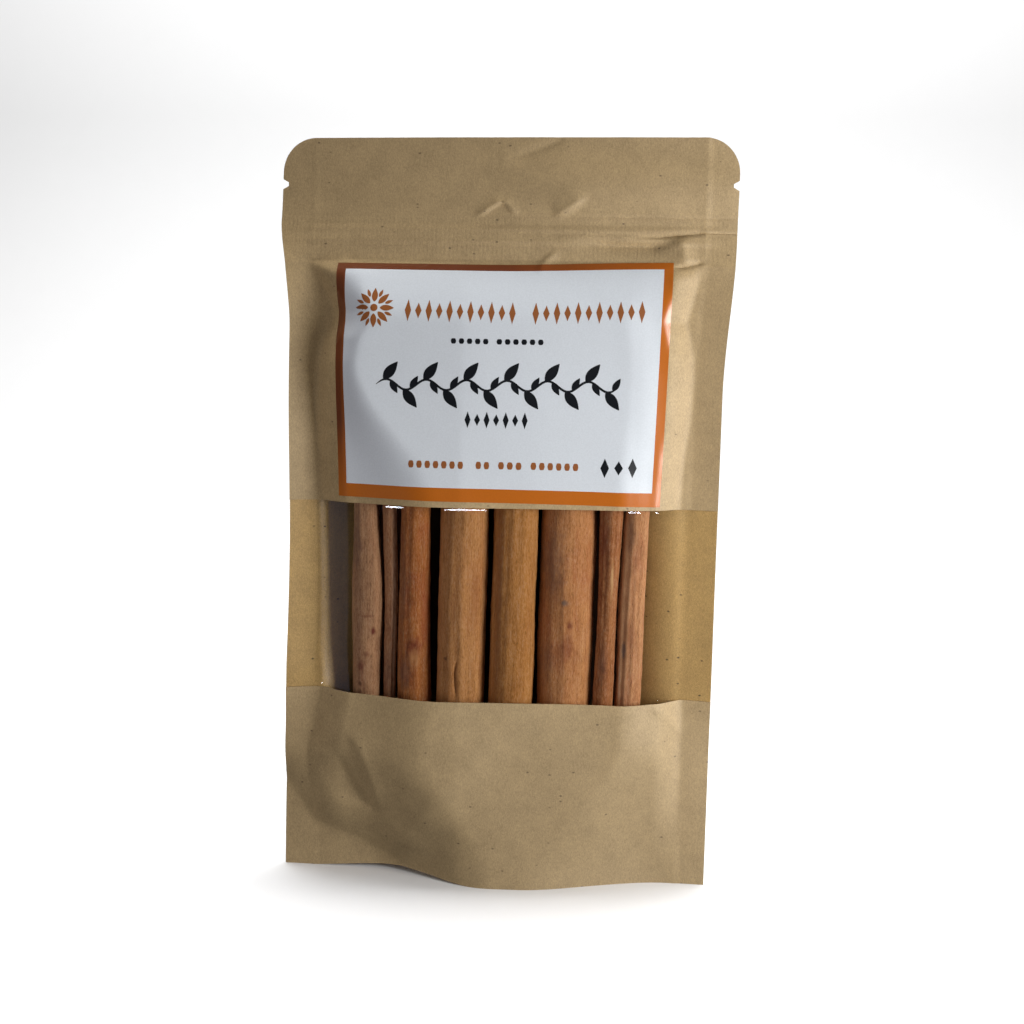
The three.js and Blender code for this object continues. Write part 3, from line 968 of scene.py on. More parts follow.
class LabelSettings(bpy.types.PropertyGroup):
    """The paper label and its print."""

    paper: colour_prop("Paper", "Face of the label", (0.67, 0.705, 0.74))
    border: colour_prop("Border", "Frame printed round the label", (0.5, 0.13, 0.008))
    # Painted shade: the tone that the frame takes along the label's top and left
    border_painted_shade: colour_prop("Border Dark", "The frame along its top and left", (0.165, 0.045, 0.016))
    brown_ink: colour_prop("Brown Ink", "Rosette, upper lozenges and lower dashes", (0.3, 0.1, 0.028))
    black_ink: colour_prop("Black Ink", "Garland and the dark rows", (0.008, 0.009, 0.012))


class QuillSettings(bpy.types.PropertyGroup):
    """The rolled bark."""

    grain: length_prop("Grain", "Height of the bark's ridges", 0.00004)
    grid: length_prop("Mesh Step", "Spacing of points round a quill", 0.00032)


class StageSettings(bpy.types.PropertyGroup):
    """Floor, lights and camera."""

    floor: colour_prop("Floor", "Pale floor and backdrop", (0.86, 0.86, 0.86))
    key_power: strength_prop("Key Power", "Watts of the near light on the right", 0.71)
    fill_power: strength_prop("Fill Power", "Watts of the light on the left", 0.58)
    shine_power: strength_prop("Shine Power", "Watts of the label's highlight, half the kraft's", 0.9)
    glint_power: strength_prop("Glint Power", "Watts of the film's highlights", 38.0)
    side_power: strength_prop("Side Power", "Watts of the film's sheen on the left", 0.14)
    floor_power: strength_prop("Floor Power", "Watts of the light over the floor", 32.0)
    world: strength_prop("World", "Strength of the surrounding light", 0.182)


# ---------------------------------------------------------------- the pouch


def web_rows(low, high, step):
    """Heights of a web's rows, finer over the zip, with the corners and notches kept exact."""
    arc = [HEIGHT - CORNER + CORNER * math.sin(math.radians(a)) for a in range(0, 90, 6)]
    half = NOTCH["mouth"] / 2
    notch = [NOTCH["z"] + k for k in (-half, -NOTCH["floor"] / 2, NOTCH["floor"] / 2, half)]
    marks = [m for m in arc + notch if low < m < high]
    stops = [low, *[m for m in ZIP["fine"] if low < m < high], high]
    if len(stops) == 2:
        return spread(low, high, step, marks)
    below, at, above = zip(stops[:-1], stops[1:])
    parts = [spread(*below, step, marks), spread(*at, 0.4 * step, marks), spread(*above, step, marks)]
    return np.unique(np.concatenate(parts).round(4))


def paper_web(low, high, step, face, side):
    """A closed sheet of paper between two heights; side is -1 for the front and 1 for the back."""
    body = int(2 * (FLAT_HALF - SEAL_WIDTH) / step)
    x, z = web_grid(web_rows(low, high, step), body, int(SEAL_WIDTH / step))
    outer = stacked(x, face(x, z), z + skirt_lift(x, z) * (side < 0))
    thickness = bpy.context.scene.pouch.paper / MM - WEB_GAP
    inner = outer - np.array([0.0, side * thickness, 0.0])
    if side < 0:
        return shell(outer, inner)
    return shell(outer[:, ::-1], inner[:, ::-1])


def skirt_lift(x, z):
    """The front skirt's lower edge stands off the floor left of the middle."""
    along = np.interp(x, (-50.0, -38.0, -26.0, -17.0, -6.0), (0.0, 0.9, 1.5, 1.0, 0.0))
    return along * np.clip(1.0 - z / 9.0, 0.0, 1.0)


def foot_panel(step):
    """The folded bottom panel, spanning from the front skirt to the back one."""
    across = spread(-GUSSET["reach"], GUSSET["reach"], step)
    t = np.linspace(0.0, 1.0, 15)[:, None]
    x = np.broadcast_to(across[None, :], (len(t), len(across))).copy()
    base = gusset_height(x)
    inwards = bpy.context.scene.pouch.paper / MM + GUSSET["clear"]
    front = front_y(x, base) + inwards
    back = np.maximum(back_y(x, base) - inwards, front + GUSSET["least"])
    y = mix(front, back, t)
    outwards = ease((np.abs(x) - GUSSET["ridge_from"]) / GUSSET["ridge_run"])
    ridge = GUSSET["ridge"] * (1.0 - np.abs(2.0 * t - 1.0)) * outwards
    z = base + ridge + waves(x, y, SEED + 5, *GUSSET["waves"])
    return shell(stacked(x, y, z + GUSSET["sheet"]), stacked(x, y, z), 1, 0, 0)


class POUCH_OT_kraft_webs(bpy.types.Operator):
    """Builds the pouch's paper: the back, the front above and below the window, and the foot panel"""

    bl_idname = "pouch.kraft_webs"
    bl_label = "Kraft Webs"

    def execute(self, context):
        own = context.scene.pouch
        step = own.mesh_step / MM
        dim = [c * 0.6 for c in own.lining]
        inner = (own.lining, dim, own.speck, 1.0, 0.5, 0.25)
        kraft = paper_material("kraft_paper", own.kraft_light, own.kraft_dark, own.speck, 0.8, 0.68, 0.35)
        lining = paper_material("kraft_lining", *inner)
        # The back web's lining takes painted shade behind the quills
        painted_shade_lining = paper_material("lining_painted_shade", *inner, own.painted_shade)
        webs = (
            ("web_back", paper_web(0.0, HEIGHT, BACK["coarser"] * step, back_y, 1), painted_shade_lining),
            ("web_front_lower", paper_web(0.0, WINDOW["bottom"], step, front_y, -1), lining),
            ("web_front_upper", paper_web(WINDOW["top"], HEIGHT, step, front_y, -1), lining),
            ("web_foot_panel", foot_panel(step), lining),
        )
        for name, web, inside in webs:
            make_piece(name, [web], [kraft, inside], "kraft_paper", "pouch")
        return {"FINISHED"}


# ---------------------------------------------------------------- window film


# Stretches of the window's edges where the film is puckered: x from, x to, height in mm.
FILM_LIPS = {
    "top": [(-30.5, -24.0, 0.3), (-15.0, -2.0, 0.31), (33.4, 37.4, 0.33), (40.6, 44.8, 0.32)],
    "bottom": [(-49.3, -47.2, 0.3), (42.5, 46.5, 0.31)],
}
FILM = {
    "margin": 0.05,
    "inset": 0.06,
    "step": 0.8,
    "fine_step": 0.06,
    "fine_low": 1.5,
    "fine_high": 2.9,
    "plain_to": 3.0,
    "columns": (220, 10),
    "ripples": (6, (5.0, 18.0), 0.04),
    "ripple_run": 6.0,
    "side_run": 8.0,
    "lip_low": 0.7,
    "lip_high": 0.8,
    "lip_least": 0.03,
    "lip_width": 0.45,
    "lip_ends": 0.3,
    "line_below": 2.4,
    "line": 0.05,
    "line_width": 0.15,
}


def film_lips(x, z):
    """Small rounded puckers of the film along the paper's cut edges, and a fine line below the
    upper ones."""
    middles = {"top": WINDOW["top"] - FILM["lip_high"], "bottom": WINDOW["bottom"] + FILM["lip_low"]}
    total = np.zeros(x.shape)
    for edge, row in FILM_LIPS.items():
        height = np.full(x.shape, FILM["lip_least"])
        for low, high, rise in row:
            along = np.clip((x - low) / (high - low), 0.0, 1.0)
            height = height + rise * np.sin(math.pi * along) ** FILM["lip_ends"]
        total += height * np.exp(-(((z - middles[edge]) / FILM["lip_width"]) ** 2))
    line = WINDOW["top"] - FILM["line_below"] + 0.2 * np.sin(x / 9.0)
    broken = 0.5 + 0.3 * np.sin(x / 3.1) + 0.2 * np.sin(x / 1.3 + 1.0)
    return total + FILM["line"] * broken * np.exp(-(((z - line) / FILM["line_width"]) ** 2))


def film_face(x, z):
    """The film lies just inside the paper's face, with tension ripples at its edges."""
    near = np.minimum(z - WINDOW["bottom"], WINDOW["top"] - z)
    ripple = waves(x, z * 0.25, SEED + 7, *FILM["ripples"]) * np.exp(-near / FILM["ripple_run"])
    from_left, from_right = from_seals(x, z)
    inside = ease(from_left / FILM["side_run"]) * ease(from_right / FILM["side_run"])
    return front_y(x, z) + FILM["inset"] - inside * ripple - film_lips(x, z)


def film_material(own):
    """Clear film: only its outer face shines, so that it does not veil what lies behind."""
    material, tree, surface, place = new_material("clear_film")
    ripple = tree.noise(tree.scaled(place, (1.0, 1.0, 0.4)), 90.0, 2.0, 0.5)
    normal = tree.add("ShaderNodeBump", {"Strength": 0.05, "Distance": 0.0002, "Height": ripple}).outputs[0]
    skin = tree.add(
        "ShaderNodeBsdfPrincipled",
        {"Base Color": own.tint, "Metallic": 1.0, "Roughness": 0.05, "Normal": normal},
    )
    clear = tree.add("ShaderNodeBsdfTransparent", {"Color": (0.985, 0.985, 0.98)})
    facing = tree.add("ShaderNodeFresnel", {"IOR": 1.45, "Normal": normal}).outputs[0]
    outside = tree.math("SUBTRACT", 1.0, tree.add("ShaderNodeNewGeometry").outputs["Backfacing"])
    share = tree.math("MULTIPLY", tree.math("ADD", facing, own.haze), outside, clamp=True)
    blend = tree.add("ShaderNodeMixShader", {0: share, 1: clear.outputs[0], 2: skin.outputs[0]})
    tree.put(surface, blend.outputs[0])
    return material


class POUCH_OT_window_film(bpy.types.Operator):
    """Builds the clear film across the window"""

    bl_idname = "pouch.window_film"
    bl_label = "Window Film"

    def execute(self, context):
        own = context.scene.film
        low = WINDOW["bottom"] + FILM["margin"]
        high = WINDOW["top"] - FILM["margin"]
        rows = [
            np.arange(low, low + FILM["fine_low"], FILM["fine_step"]),
            spread(low + FILM["fine_low"], high - FILM["plain_to"], FILM["step"]),
            np.arange(high - FILM["fine_high"], high, FILM["fine_step"]),
            [high],
        ]
        x, z = web_grid(np.concatenate(rows), *FILM["columns"])
        outer = stacked(x, film_face(x, z), z)
        inner = outer + np.array([0.0, own.thickness / MM, 0.0])
        part = shell(outer, inner, 0, 0, 0)
        make_piece("window_sheet", [part], [film_material(own)], "clear_film", "window_film")
        return {"FINISHED"}


# ---------------------------------------------------------------- label

LABEL_LIFT = 0.08
LABEL_THICK = 0.14
LABEL_STEP = 0.8
PRINT_LIFT = 0.02
PRINT_SINK = 0.04
BORDER = {"left": 2.45, "right": 2.35, "top": 1.7, "bottom": 3.5}
# How far the cut label's sides, from its foot to its top, and its lower and upper edges lie
# from a rectangle.
LABEL_CUT = {
    "left": (1.0, -0.2),
    "right": (-0.9, 0.7),
    "bottom_right": -0.75,
    "top": 0.5,
    "top_right": 1.1,
    "top_right_from": 0.45,
}
# Where the border's painted shade fades in, in metres: over z at the top and x on the left, and
# the stretches along which each shows.
PAINTED_SHADE_EDGES = {
    "top": (0.158, 0.164),
    "top_along": (0.0, 0.042, 1.0, 0.15),
    "left": (-0.040, -0.0425),
    "left_along": (0.106, 0.125),
}


def label_y(x, z):
    return front_y(x, z) - LABEL_LIFT - LABEL_THICK


def label_cut(x, z):
    """Moves a point of the rectangular label to its place on the label as cut, which is widest
    at its top and highest at its upper right corner."""
    across = (x - LABEL["left"]) / (LABEL["right"] - LABEL["left"])
    up = (z - LABEL["bottom"]) / (LABEL["top"] - LABEL["bottom"])
    sideways = mix(mix(*LABEL_CUT["left"], up), mix(*LABEL_CUT["right"], up), across)
    rising = ease((across - LABEL_CUT["top_right_from"]) / (1.0 - LABEL_CUT["top_right_from"]))
    top_edge = LABEL_CUT["top"] + LABEL_CUT["top_right"] * rising
    bottom_edge = LABEL_CUT["bottom_right"] * across**2
    return x + sideways, z + mix(bottom_edge, top_edge, up)


def strip(points, halves, across=5):
    """A flat print patch along a line of (x, z) points with half widths, laid on the label."""
    line = np.array(points, float)
    halves = np.array(halves, float)
    way = np.gradient(line, axis=0)
    way /= np.linalg.norm(way, axis=1)[:, None]
    side = np.stack([-way[:, 1], way[:, 0]], 1)
    t = np.linspace(-1.0, 1.0, across)
    grid = line[None, :, :] + side[None, :, :] * halves[None, :, None] * t[:, None, None]
    x = grid[..., 0]
    z = grid[..., 1]
    y = label_y(x, z)
    return shell(stacked(x, y - PRINT_LIFT, z), stacked(x, y + PRINT_SINK, z), 0, 0, 0)


def lozenges(x_low, x_high, z_left, z_right, height, count, width=0.62):
    """A row of upright lozenges between two points of the label, every other one smaller."""
    parts = []
    pitch = (x_high - x_low) / count
    for k in range(count):
        x = x_low + pitch * (k + 0.5)
        middle = mix(z_left, z_right, (k + 0.5) / count)
        half = height / 2 * (1.0 if k % 2 == 0 else 0.72)
        zs = np.linspace(middle - half, middle + half, 9)
        halves = [max(pitch * width / 2 * (1.0 - abs(z - middle) / half), 0.03) for z in zs]
        parts.append(strip([(x, z) for z in zs], halves, across=3))
    return parts


def garland(x_low, x_high, z_low, z_high, height, leaves):
    """A waving stem with leaves by turns above and below it."""
    xs = np.linspace(x_low, x_high, 90)
    turn = 2 * math.pi * (leaves / 2) / (x_high - x_low)

    def stem(x):
        level = mix(z_low, z_high, (x - x_low) / (x_high - x_low))
        return level + 0.14 * height * math.sin(turn * (x - x_low))

    halves = [0.3 * min(1.0, 0.25 + (x - x_low) / 3, 0.25 + (x_high - x) / 3) for x in xs]
    parts = [strip([(x, stem(x)) for x in xs], halves, across=3)]
    pitch = (x_high - x_low) / leaves
    for k in range(leaves):
        x = x_low + pitch * (k + 0.35)
        beside = x + 0.35 * pitch
        lean = math.radians(52) * (1 if k % 2 == 0 else -1)
        parts.append(leaf((x, stem(x)), lean, 0.1, 0.62 * height, 0.27 * height))
        parts.append(leaf((beside, stem(beside)), -1.15 * lean, 0.1, 0.4 * height, 0.17 * height))
    return parts


def dashes(x_low, x_high, z_left, z_right, height, count, fill=0.66):
    """A row of short rounded dashes."""
    parts = []
    pitch = (x_high - x_low) / count
    half = height / 2
    for k in range(count):
        low = x_low + pitch * k
        high = low + pitch * fill
        xs = np.linspace(low, high, 9)
        halves = [half * math.sqrt(max(1 - (2 * (x - low) / (high - low) - 1) ** 4, 0.02)) for x in xs]
        z = mix(z_left, z_right, (k + 0.5) / count)
        parts.append(strip([(x, z) for x in xs], halves, across=3))
    return parts


def leaf(centre, angle, start, length, width):
    """A leaf that points away from a centre."""
    ray = np.array([math.cos(angle), math.sin(angle)])
    shares = np.linspace(0.02, 0.98, 14)
    points = [tuple(np.array(centre) + ray * (start + length * s)) for s in shares]
    halves = [width / 2 * math.sin(math.pi * s**0.8) + 0.02 for s in shares]
    return strip(points, halves)


def ornament(centre):
    """A plain rosette of leaves round a dot."""
    parts = []
    for first, start, length, width in ((0.0, 1.5, 3.7, 1.5), (22.5, 3.0, 2.2, 0.8)):
        for k in range(8):
            parts.append(leaf(centre, math.radians(45 * k + first), start, length, width))
    radius = 0.95
    offsets = [0.1 * k - radius for k in range(20)]
    points = [(centre[0] + off, centre[1]) for off in offsets]
    halves = [math.sqrt(max(radius**2 - off**2, 1e-3)) for off in offsets]
    parts.append(strip(points, halves))
    return parts


# The print of each ink: rosette by its centre; rows and garland by their ends' x, their ends'
# z, the height of a mark and how many there are.
BROWN_PRINT = [
    (ornament, ((-33.4, 154.7),)),
    (lozenges, (-25.9, 3.8, 154.2, 153.9, 5.6, 11)),
    (lozenges, (7.1, 37.2, 153.9, 154.9, 5.6, 11)),
    (dashes, (-23.5, -8.5, 114.6, 114.5, 1.9, 7)),
    (dashes, (-6.0, -1.8, 114.6, 114.5, 1.9, 2)),
    (dashes, (-0.2, 6.6, 114.6, 114.5, 1.9, 3)),
    (dashes, (8.2, 21.3, 114.6, 114.5, 1.9, 6)),
]
BLACK_PRINT = [
    (garland, (-32.4, 30.4, 135.0, 135.4, 9.6, 12)),
    (dashes, (-13.2, -2.8, 146.5, 146.5, 1.4, 5)),
    (dashes, (-1.4, 11.4, 146.5, 146.6, 1.4, 6)),
    (lozenges, (-9.6, 7.6, 126.3, 126.3, 4.2, 7)),
    (lozenges, (25.6, 36.4, 114.4, 114.6, 5.0, 3)),
]


def label_material(name, colour, roughness, painted_shade_tone=None):
    """Smooth coated stock, a little uneven in tone and gloss. Painted shade, where a tone for it is
    given, takes over along the label's top and left, which turn away from the light."""
    material, tree, surface, place = new_material(name)
    if painted_shade_tone is not None:
        # Painted shade along the label's top and left
        x, _, z = tree.add("ShaderNodeSeparateXYZ", {"Vector": place}).outputs
        top = tree.product(tree.remap(z, *PAINTED_SHADE_EDGES["top"]), tree.remap(x, *PAINTED_SHADE_EDGES["top_along"]))
        left = tree.product(tree.remap(x, *PAINTED_SHADE_EDGES["left"]), tree.remap(z, *PAINTED_SHADE_EDGES["left_along"]))
        colour = tree.blend(tree.math("MAXIMUM", top, left), colour, painted_shade_tone)
    wave = tree.noise(place, 90.0, 2.0, 0.5)
    fine = tree.noise(place, 2600.0, 3.0, 0.6)
    shade = tree.blend(tree.remap(fine, 0.35, 0.65, 0.0, 0.07), colour, (0.0, 0.0, 0.0))
    gloss = tree.remap(wave, 0.3, 0.7, roughness - 0.02, roughness + 0.03)
    coat(tree, surface, shade, gloss, fine, 0.1, 0.0001)
    return material


def label_sheet():
    """The label as one closed sheet. The rim of its outer face carries the border."""
    left = LABEL["left"] + BORDER["left"]
    right = LABEL["right"] - BORDER["right"]
    low = LABEL["bottom"] + BORDER["bottom"]
    high = LABEL["top"] - BORDER["top"]
    xs = spread(LABEL["left"], LABEL["right"], LABEL_STEP, (left, right))
    zs = spread(LABEL["bottom"], LABEL["top"], LABEL_STEP, (low, high))
    x, z = np.meshgrid(xs, zs)
    y = label_y(*label_cut(x, z))
    points, faces, _ = shell(stacked(x, y, z), stacked(x, y + LABEL_THICK, z))
    centre = points[faces].mean(axis=1)
    inside = (centre[:, 0] > left) & (centre[:, 0] < right)
    inside &= (centre[:, 2] > low) & (centre[:, 2] < high)
    outer = np.arange(len(faces)) < (len(xs) - 1) * (len(zs) - 1)
    points[:, 0], points[:, 2] = label_cut(points[:, 0], points[:, 2])
    return points, faces, np.where(outer & ~inside, 1, 0)


class POUCH_OT_label(bpy.types.Operator):
    """Builds the paper label with its printed frame, rosette, garland and rows"""

    bl_idname = "pouch.label"
    bl_label = "Label"

    def execute(self, context):
        own = context.scene.label
        face = label_material("label_face", own.paper, 0.3)
        # The border takes painted shade along its top and left
        border = label_material("label_border", own.border, 0.3, own.border_painted_shade)
        make_piece("label_sheet", [label_sheet()], [face, border], "label_paper", "label")
        prints = (
            ("label_print_brown", BROWN_PRINT, label_material("print_brown", own.brown_ink, 0.32)),
            ("label_print_black", BLACK_PRINT, label_material("print_black", own.black_ink, 0.3)),
        )
        for name, rows, ink in prints:
            parts = [part for make, values in rows for part in make(*values)]
            make_piece(name, parts, [ink], "label_paper")
        return {"FINISHED"}


# ---------------------------------------------------------------- quills

# Lines on the bark by quill: path of (x, z), height outwards and half width, in mm.
QUILL_LINES = {
    0: [
        ([(-33.6, 61.5), (-33.2, 64.0), (-33.0, 67.0)], -0.5, 1.6),
        ([(-38.4, 72.0), (-36.0, 72.6)], -0.1, 0.5),
    ],
    2: [
        ([(-24.3, 60.0), (-24.0, 64.5), (-22.4, 66.6), (-20.8, 64.5), (-20.6, 60.0)], 0.14, 0.45),
        ([(-22.6, 60.5), (-22.4, 65.0)], -0.12, 0.9),
    ],
    3: [
        ([(-10.6, 51.2), (-10.9, 55.5), (-11.1, 58.5), (-10.4, 63.0)], -0.7, 0.3),
        ([(-10.4, 62.0), (-10.3, 72.0)], -0.12, 0.35),
        ([(-7.6, 60.0), (-7.2, 90.0)], 0.06, 0.5),
    ],
    4: [([(2.0, 52.0), (2.4, 103.0)], -0.08, 0.5), ([(5.6, 52.0), (6.4, 103.0)], 0.07, 0.6)],
    5: [
        ([(17.4, 92.0), (17.6, 76.0), (18.2, 62.0), (18.4, 54.0)], 0.14, 0.35),
        ([(20.4, 96.0), (21.0, 60.0)], -0.07, 0.6),
    ],
    6: [
        ([(29.9, 92.0), (30.3, 80.0), (29.6, 66.0)], 0.16, 0.4),
        ([(28.6, 96.0), (28.2, 70.0)], -0.12, 0.5),
    ],
    7: [([(33.2, 66.0), (32.9, 52.0)], 0.12, 0.35), ([(36.5, 100.0), (35.6, 70.0)], -0.06, 0.6)],
}
# Bark of each quill: base, pale, deep and red tones, then mottling and reddening.
BARKS = [
    ((0.347, 0.175, 0.09), (0.441, 0.239, 0.123), (0.134, 0.048, 0.031), (0.196, 0.048, 0.031), 0.4, 0.3),
    ((0.3, 0.13, 0.06), (0.4, 0.19, 0.09), (0.14, 0.05, 0.03), (0.2, 0.065, 0.035), 0.4, 0.2),
    ((0.33, 0.104, 0.027), (0.42, 0.158, 0.045), (0.15, 0.036, 0.015), (0.25, 0.045, 0.023), 0.4, 0.5),
    ((0.392, 0.167, 0.055), (0.509, 0.238, 0.083), (0.207, 0.07, 0.024), (0.311, 0.084, 0.028), 0.25, 0.35),
    ((0.35, 0.143, 0.037), (0.44, 0.197, 0.056), (0.2, 0.071, 0.019), (0.28, 0.089, 0.031), 0.2, 0.1),
    ((0.4, 0.158, 0.055), (0.518, 0.238, 0.091), (0.21, 0.07, 0.032), (0.272, 0.056, 0.032), 0.4, 0.45),
    ((0.264, 0.086, 0.028), (0.368, 0.158, 0.06), (0.132, 0.032, 0.014), (0.194, 0.04, 0.021), 0.45, 0.4),
    ((0.407, 0.178, 0.075), (0.504, 0.255, 0.117), (0.196, 0.068, 0.036), (0.295, 0.068, 0.04), 0.4, 0.45),
]
MAUVE = (0.13, 0.068, 0.052)
BLOOD = (0.13, 0.025, 0.018)
SOOT = (0.035, 0.016, 0.012)
CHALK = (0.5, 0.36, 0.27)
GREY = (0.13, 0.1, 0.085)
# Marks on each quill: x, z and half sizes in mm, colour and strength.
MARKS = [
    [
        (-38.6, 93.0, 2.0, 9.0, MAUVE, 0.55),
        (-33.8, 68.4, 0.7, 1.3, BLOOD, 0.9),
        (-37.2, 58.6, 1.4, 1.6, BLOOD, 0.55),
        (-37.4, 53.6, 0.6, 0.9, SOOT, 0.8),
        (-35.4, 72.5, 1.8, 0.5, BLOOD, 0.5),
        (-35.6, 62.0, 0.9, 0.8, BLOOD, 0.4),
    ],
    # Second quill: the mauve at its foot is painted shade with a greyish reflection of the film, and the long
    # pale streak down its right side is painted light
    [(-30.0, 56.0, 3.0, 9.0, MAUVE, 0.45), (-28.4, 77.0, 0.7, 40.0, (0.5, 0.3, 0.2), 0.6)],
    [
        (-22.6, 64.6, 2.4, 3.0, BLOOD, 0.65),
        (-22.2, 61.8, 1.6, 3.0, (0.4, 0.18, 0.07), 0.8),
        # Painted shade with a greyish reflection of the film at this quill's foot
        (-25.0, 57.0, 2.0, 6.0, MAUVE, 0.55),
        (-19.8, 75.0, 1.2, 12.0, (0.3, 0.06, 0.03), 0.4),
        (-25.6, 84.0, 1.6, 16.0, MAUVE, 0.35),
    ],
    [
        (-13.6, 62.2, 0.7, 0.5, SOOT, 0.6),
        (-6.0, 78.0, 1.0, 9.0, (0.33, 0.13, 0.05), 0.45),
        (-11.5, 76.0, 0.8, 6.0, (0.28, 0.12, 0.05), 0.4),
    ],
    [(0.2, 77.0, 1.2, 30.0, (0.22, 0.09, 0.04), 0.5)],
    [
        (13.6, 91.0, 4.4, 9.0, MAUVE, 0.5),
        (14.5, 83.0, 3.5, 6.0, MAUVE, 0.3),
        (17.9, 78.4, 0.9, 0.9, GREY, 0.75),
        (19.3, 72.4, 0.9, 1.6, BLOOD, 0.7),
        (18.8, 66.0, 2.2, 4.0, BLOOD, 0.4),
        (13.0, 62.0, 2.6, 6.0, MAUVE, 0.4),
    ],
    [
        (28.0, 94.0, 1.6, 9.0, BLOOD, 0.5),
        (28.4, 62.0, 1.6, 6.0, MAUVE, 0.4),
        (30.2, 85.0, 0.5, 6.0, (0.5, 0.3, 0.14), 0.7),
    ],
    [
        (33.6, 77.0, 1.7, 40.0, (0.6, 0.34, 0.18), 0.45),
        (34.9, 97.0, 1.2, 5.0, MAUVE, 0.5),
        (33.9, 65.5, 0.7, 3.0, GREY, 0.75),
        (35.6, 70.0, 2.0, 5.0, BLOOD, 0.3),
        (32.9, 58.0, 0.35, 6.5, CHALK, 0.4),
    ],
]
MARK_Y = -0.008  # marks lie round this depth in the pouch, in metres
MARK_DEPTH = 0.012


def along_window(pair, z):
    return mix(pair[0], pair[1], (z - WINDOW["bottom"]) / (WINDOW["top"] - WINDOW["bottom"]))


def resting_y(x, radius, z):
    """Y of a quill's axis so that its round just clears the front wall."""
    insets = []
    for across in (-0.9, -0.6, -0.3, 0.0, 0.3, 0.6, 0.9):
        reach = radius * math.sqrt(1 - across * across)
        proud = QUILL["zip_room"] if abs(z - ZIP["z"]) < ZIP["foot"] else 0.0
        insets.append(reach + QUILL["clear"] - front_bulge(x + across * radius, z) - proud)
    return max(insets)


def turned_shares(radius, seam, own):
    """Shares of the rolled sheet's length, close together on the side that faces the window."""
    fine = own.grid / MM
    shares = [0.0]
    while shares[-1] < 1.0:
        angle = seam - shares[-1] * QUILL["turns"] * 2 * math.pi
        step = fine if math.sin(angle) < 0.25 else 2.6 * fine
        shares.append(shares[-1] + step / (radius * QUILL["turns"] * 2 * math.pi))
    return np.array(shares[:-1] + [1.0])[None, :]


def quill_lines(order, x, z, facing):
    """Cracks, creases and knots on the side that faces the window, in mm outwards."""
    total = np.zeros(x.shape)
    for path, height, width in QUILL_LINES.get(order, ()):
        distance, share = path_distance(x, z, path)
        total += height * tapered(share, (0.3, 0.3)) * np.exp(-((distance / width) ** 2))
    return total * facing


def quill_rings(foot, length):
    """Heights of a quill's rings, close together at its ends and in the window."""
    top = foot + length
    ends = [QUILL["end_step"] * k for k in range(4)]
    rings = [foot + end for end in ends]
    rings += list(spread(foot + 2.0, WINDOW["bottom"] - 1.0, QUILL["hidden_step"]))
    rings += list(spread(WINDOW["bottom"] - 0.4, WINDOW["top"] + 1.0, QUILL["window_step"]))
    rings += list(spread(WINDOW["top"] + 2.0, top - 2.0, QUILL["hidden_step"]))
    rings += [top - end for end in reversed(ends)]
    return np.array(rings)[:, None]


def lumps(rng, count, around, along, angle, share):
    """Humps of random number round and along a quill, each up to 1 high."""
    total = 0.0
    for _ in range(count):
        turns = rng.integers(*around)
        swells = np.sin(2 * math.pi * rng.uniform(*along) * share + rng.uniform(0, 6.28))
        total = total + np.cos(turns * angle + rng.uniform(0, 6.28)) * swells
    return total


def quill_relief(rng, radius, angle, share, grain):
    """Long ridges that sway, broad swellings and small lumps, in mm outwards."""
    relief = np.zeros((share.shape[0], angle.shape[1]))
    for k in range(3, 15):
        phase = rng.uniform(0, 2 * math.pi)
        sway = np.sin(2 * math.pi * share * rng.uniform(0.4, 1.2) + rng.uniform(0, 6.28))
        relief += rng.uniform(0.3, 1.0) * grain * np.cos(k * angle + phase + rng.uniform(-2.2, 2.2) * sway)
    relief += 0.013 * radius * lumps(rng, 3, (1, 4), (1.5, 4.5), angle, share)
    return relief + 0.022 * lumps(rng, 8, (3, 9), (8.0, 26.0), angle, share)


def quill_mesh(row, order, own):
    """A rolled sheet of bark with long ridges, swellings and a slight bow."""
    rng = np.random.default_rng(SEED + 40 + order)
    outmost = abs(row["x"][0]) + row["r"][0]
    foot = float(gusset_height(np.array(outmost))) + WALL + 2 * FIT_GAP
    length = QUILL["length"] + QUILL["length_spread"] * math.sin(2.4 * order)

    def rest(share):
        z = foot + length * share
        return row["inset"] + resting_y(along_window(row["x"], z), along_window(row["r"], z), z)

    foot_y = rest(0.0)
    lean = max((rest(k / 6) - foot_y) / (k / 6) for k in range(1, 7))
    seam = math.pi / 2 + QUILL["seam_swing"] * math.sin(3.1 * order)
    z = quill_rings(foot, length)
    share = (z - foot) / length
    swell = np.exp(-(((z - QUILL["swell_at"]) / QUILL["swell_width"]) ** 2))
    bow = QUILL["bow"] * np.sin(math.pi * share) * math.sin(5.0 * order)
    axis_x = along_window(row["x"], z) + bow + row["bend"] * swell
    axis_y = foot_y + lean * share
    radius = along_window(row["r"], z) + row["swell"] * swell
    bark = QUILL["bark_least"] + QUILL["bark_share"] * along_window(row["r"], z)
    turned = turned_shares(max(row["r"]), seam, own) * QUILL["turns"]
    tuck = QUILL["tuck"] * bark * ease((turned - QUILL["tuck_from"]) / (1 - QUILL["tuck_from"]))
    angle = seam - turned * 2 * math.pi
    relief = quill_relief(rng, radius, angle, share, own.grain / MM)
    facing = ease(-2.0 * np.sin(angle)) * np.ones(relief.shape)
    across = axis_x + radius * np.cos(angle)
    relief += quill_lines(order, across, z * np.ones(relief.shape), facing)
    ends = 0.25 * np.sin(3 * angle + rng.uniform(0, 6.28)) + 0.2 * np.sin(7 * angle)
    ragged = z + ends * (ease((share - 0.985) / 0.015) - ease((0.015 - share) / 0.015))
    outside = radius - tuck + relief
    inside = radius - tuck - bark + 0.4 * np.clip(relief, -0.2, 0.2)
    sheets = []
    for out in (outside, inside):
        sheet = stacked(axis_x + out * np.cos(angle), axis_y + out * np.sin(angle), ragged)
        sheets.append(sheet[:, ::-1])
    return shell(*sheets, 0, 0, 0)


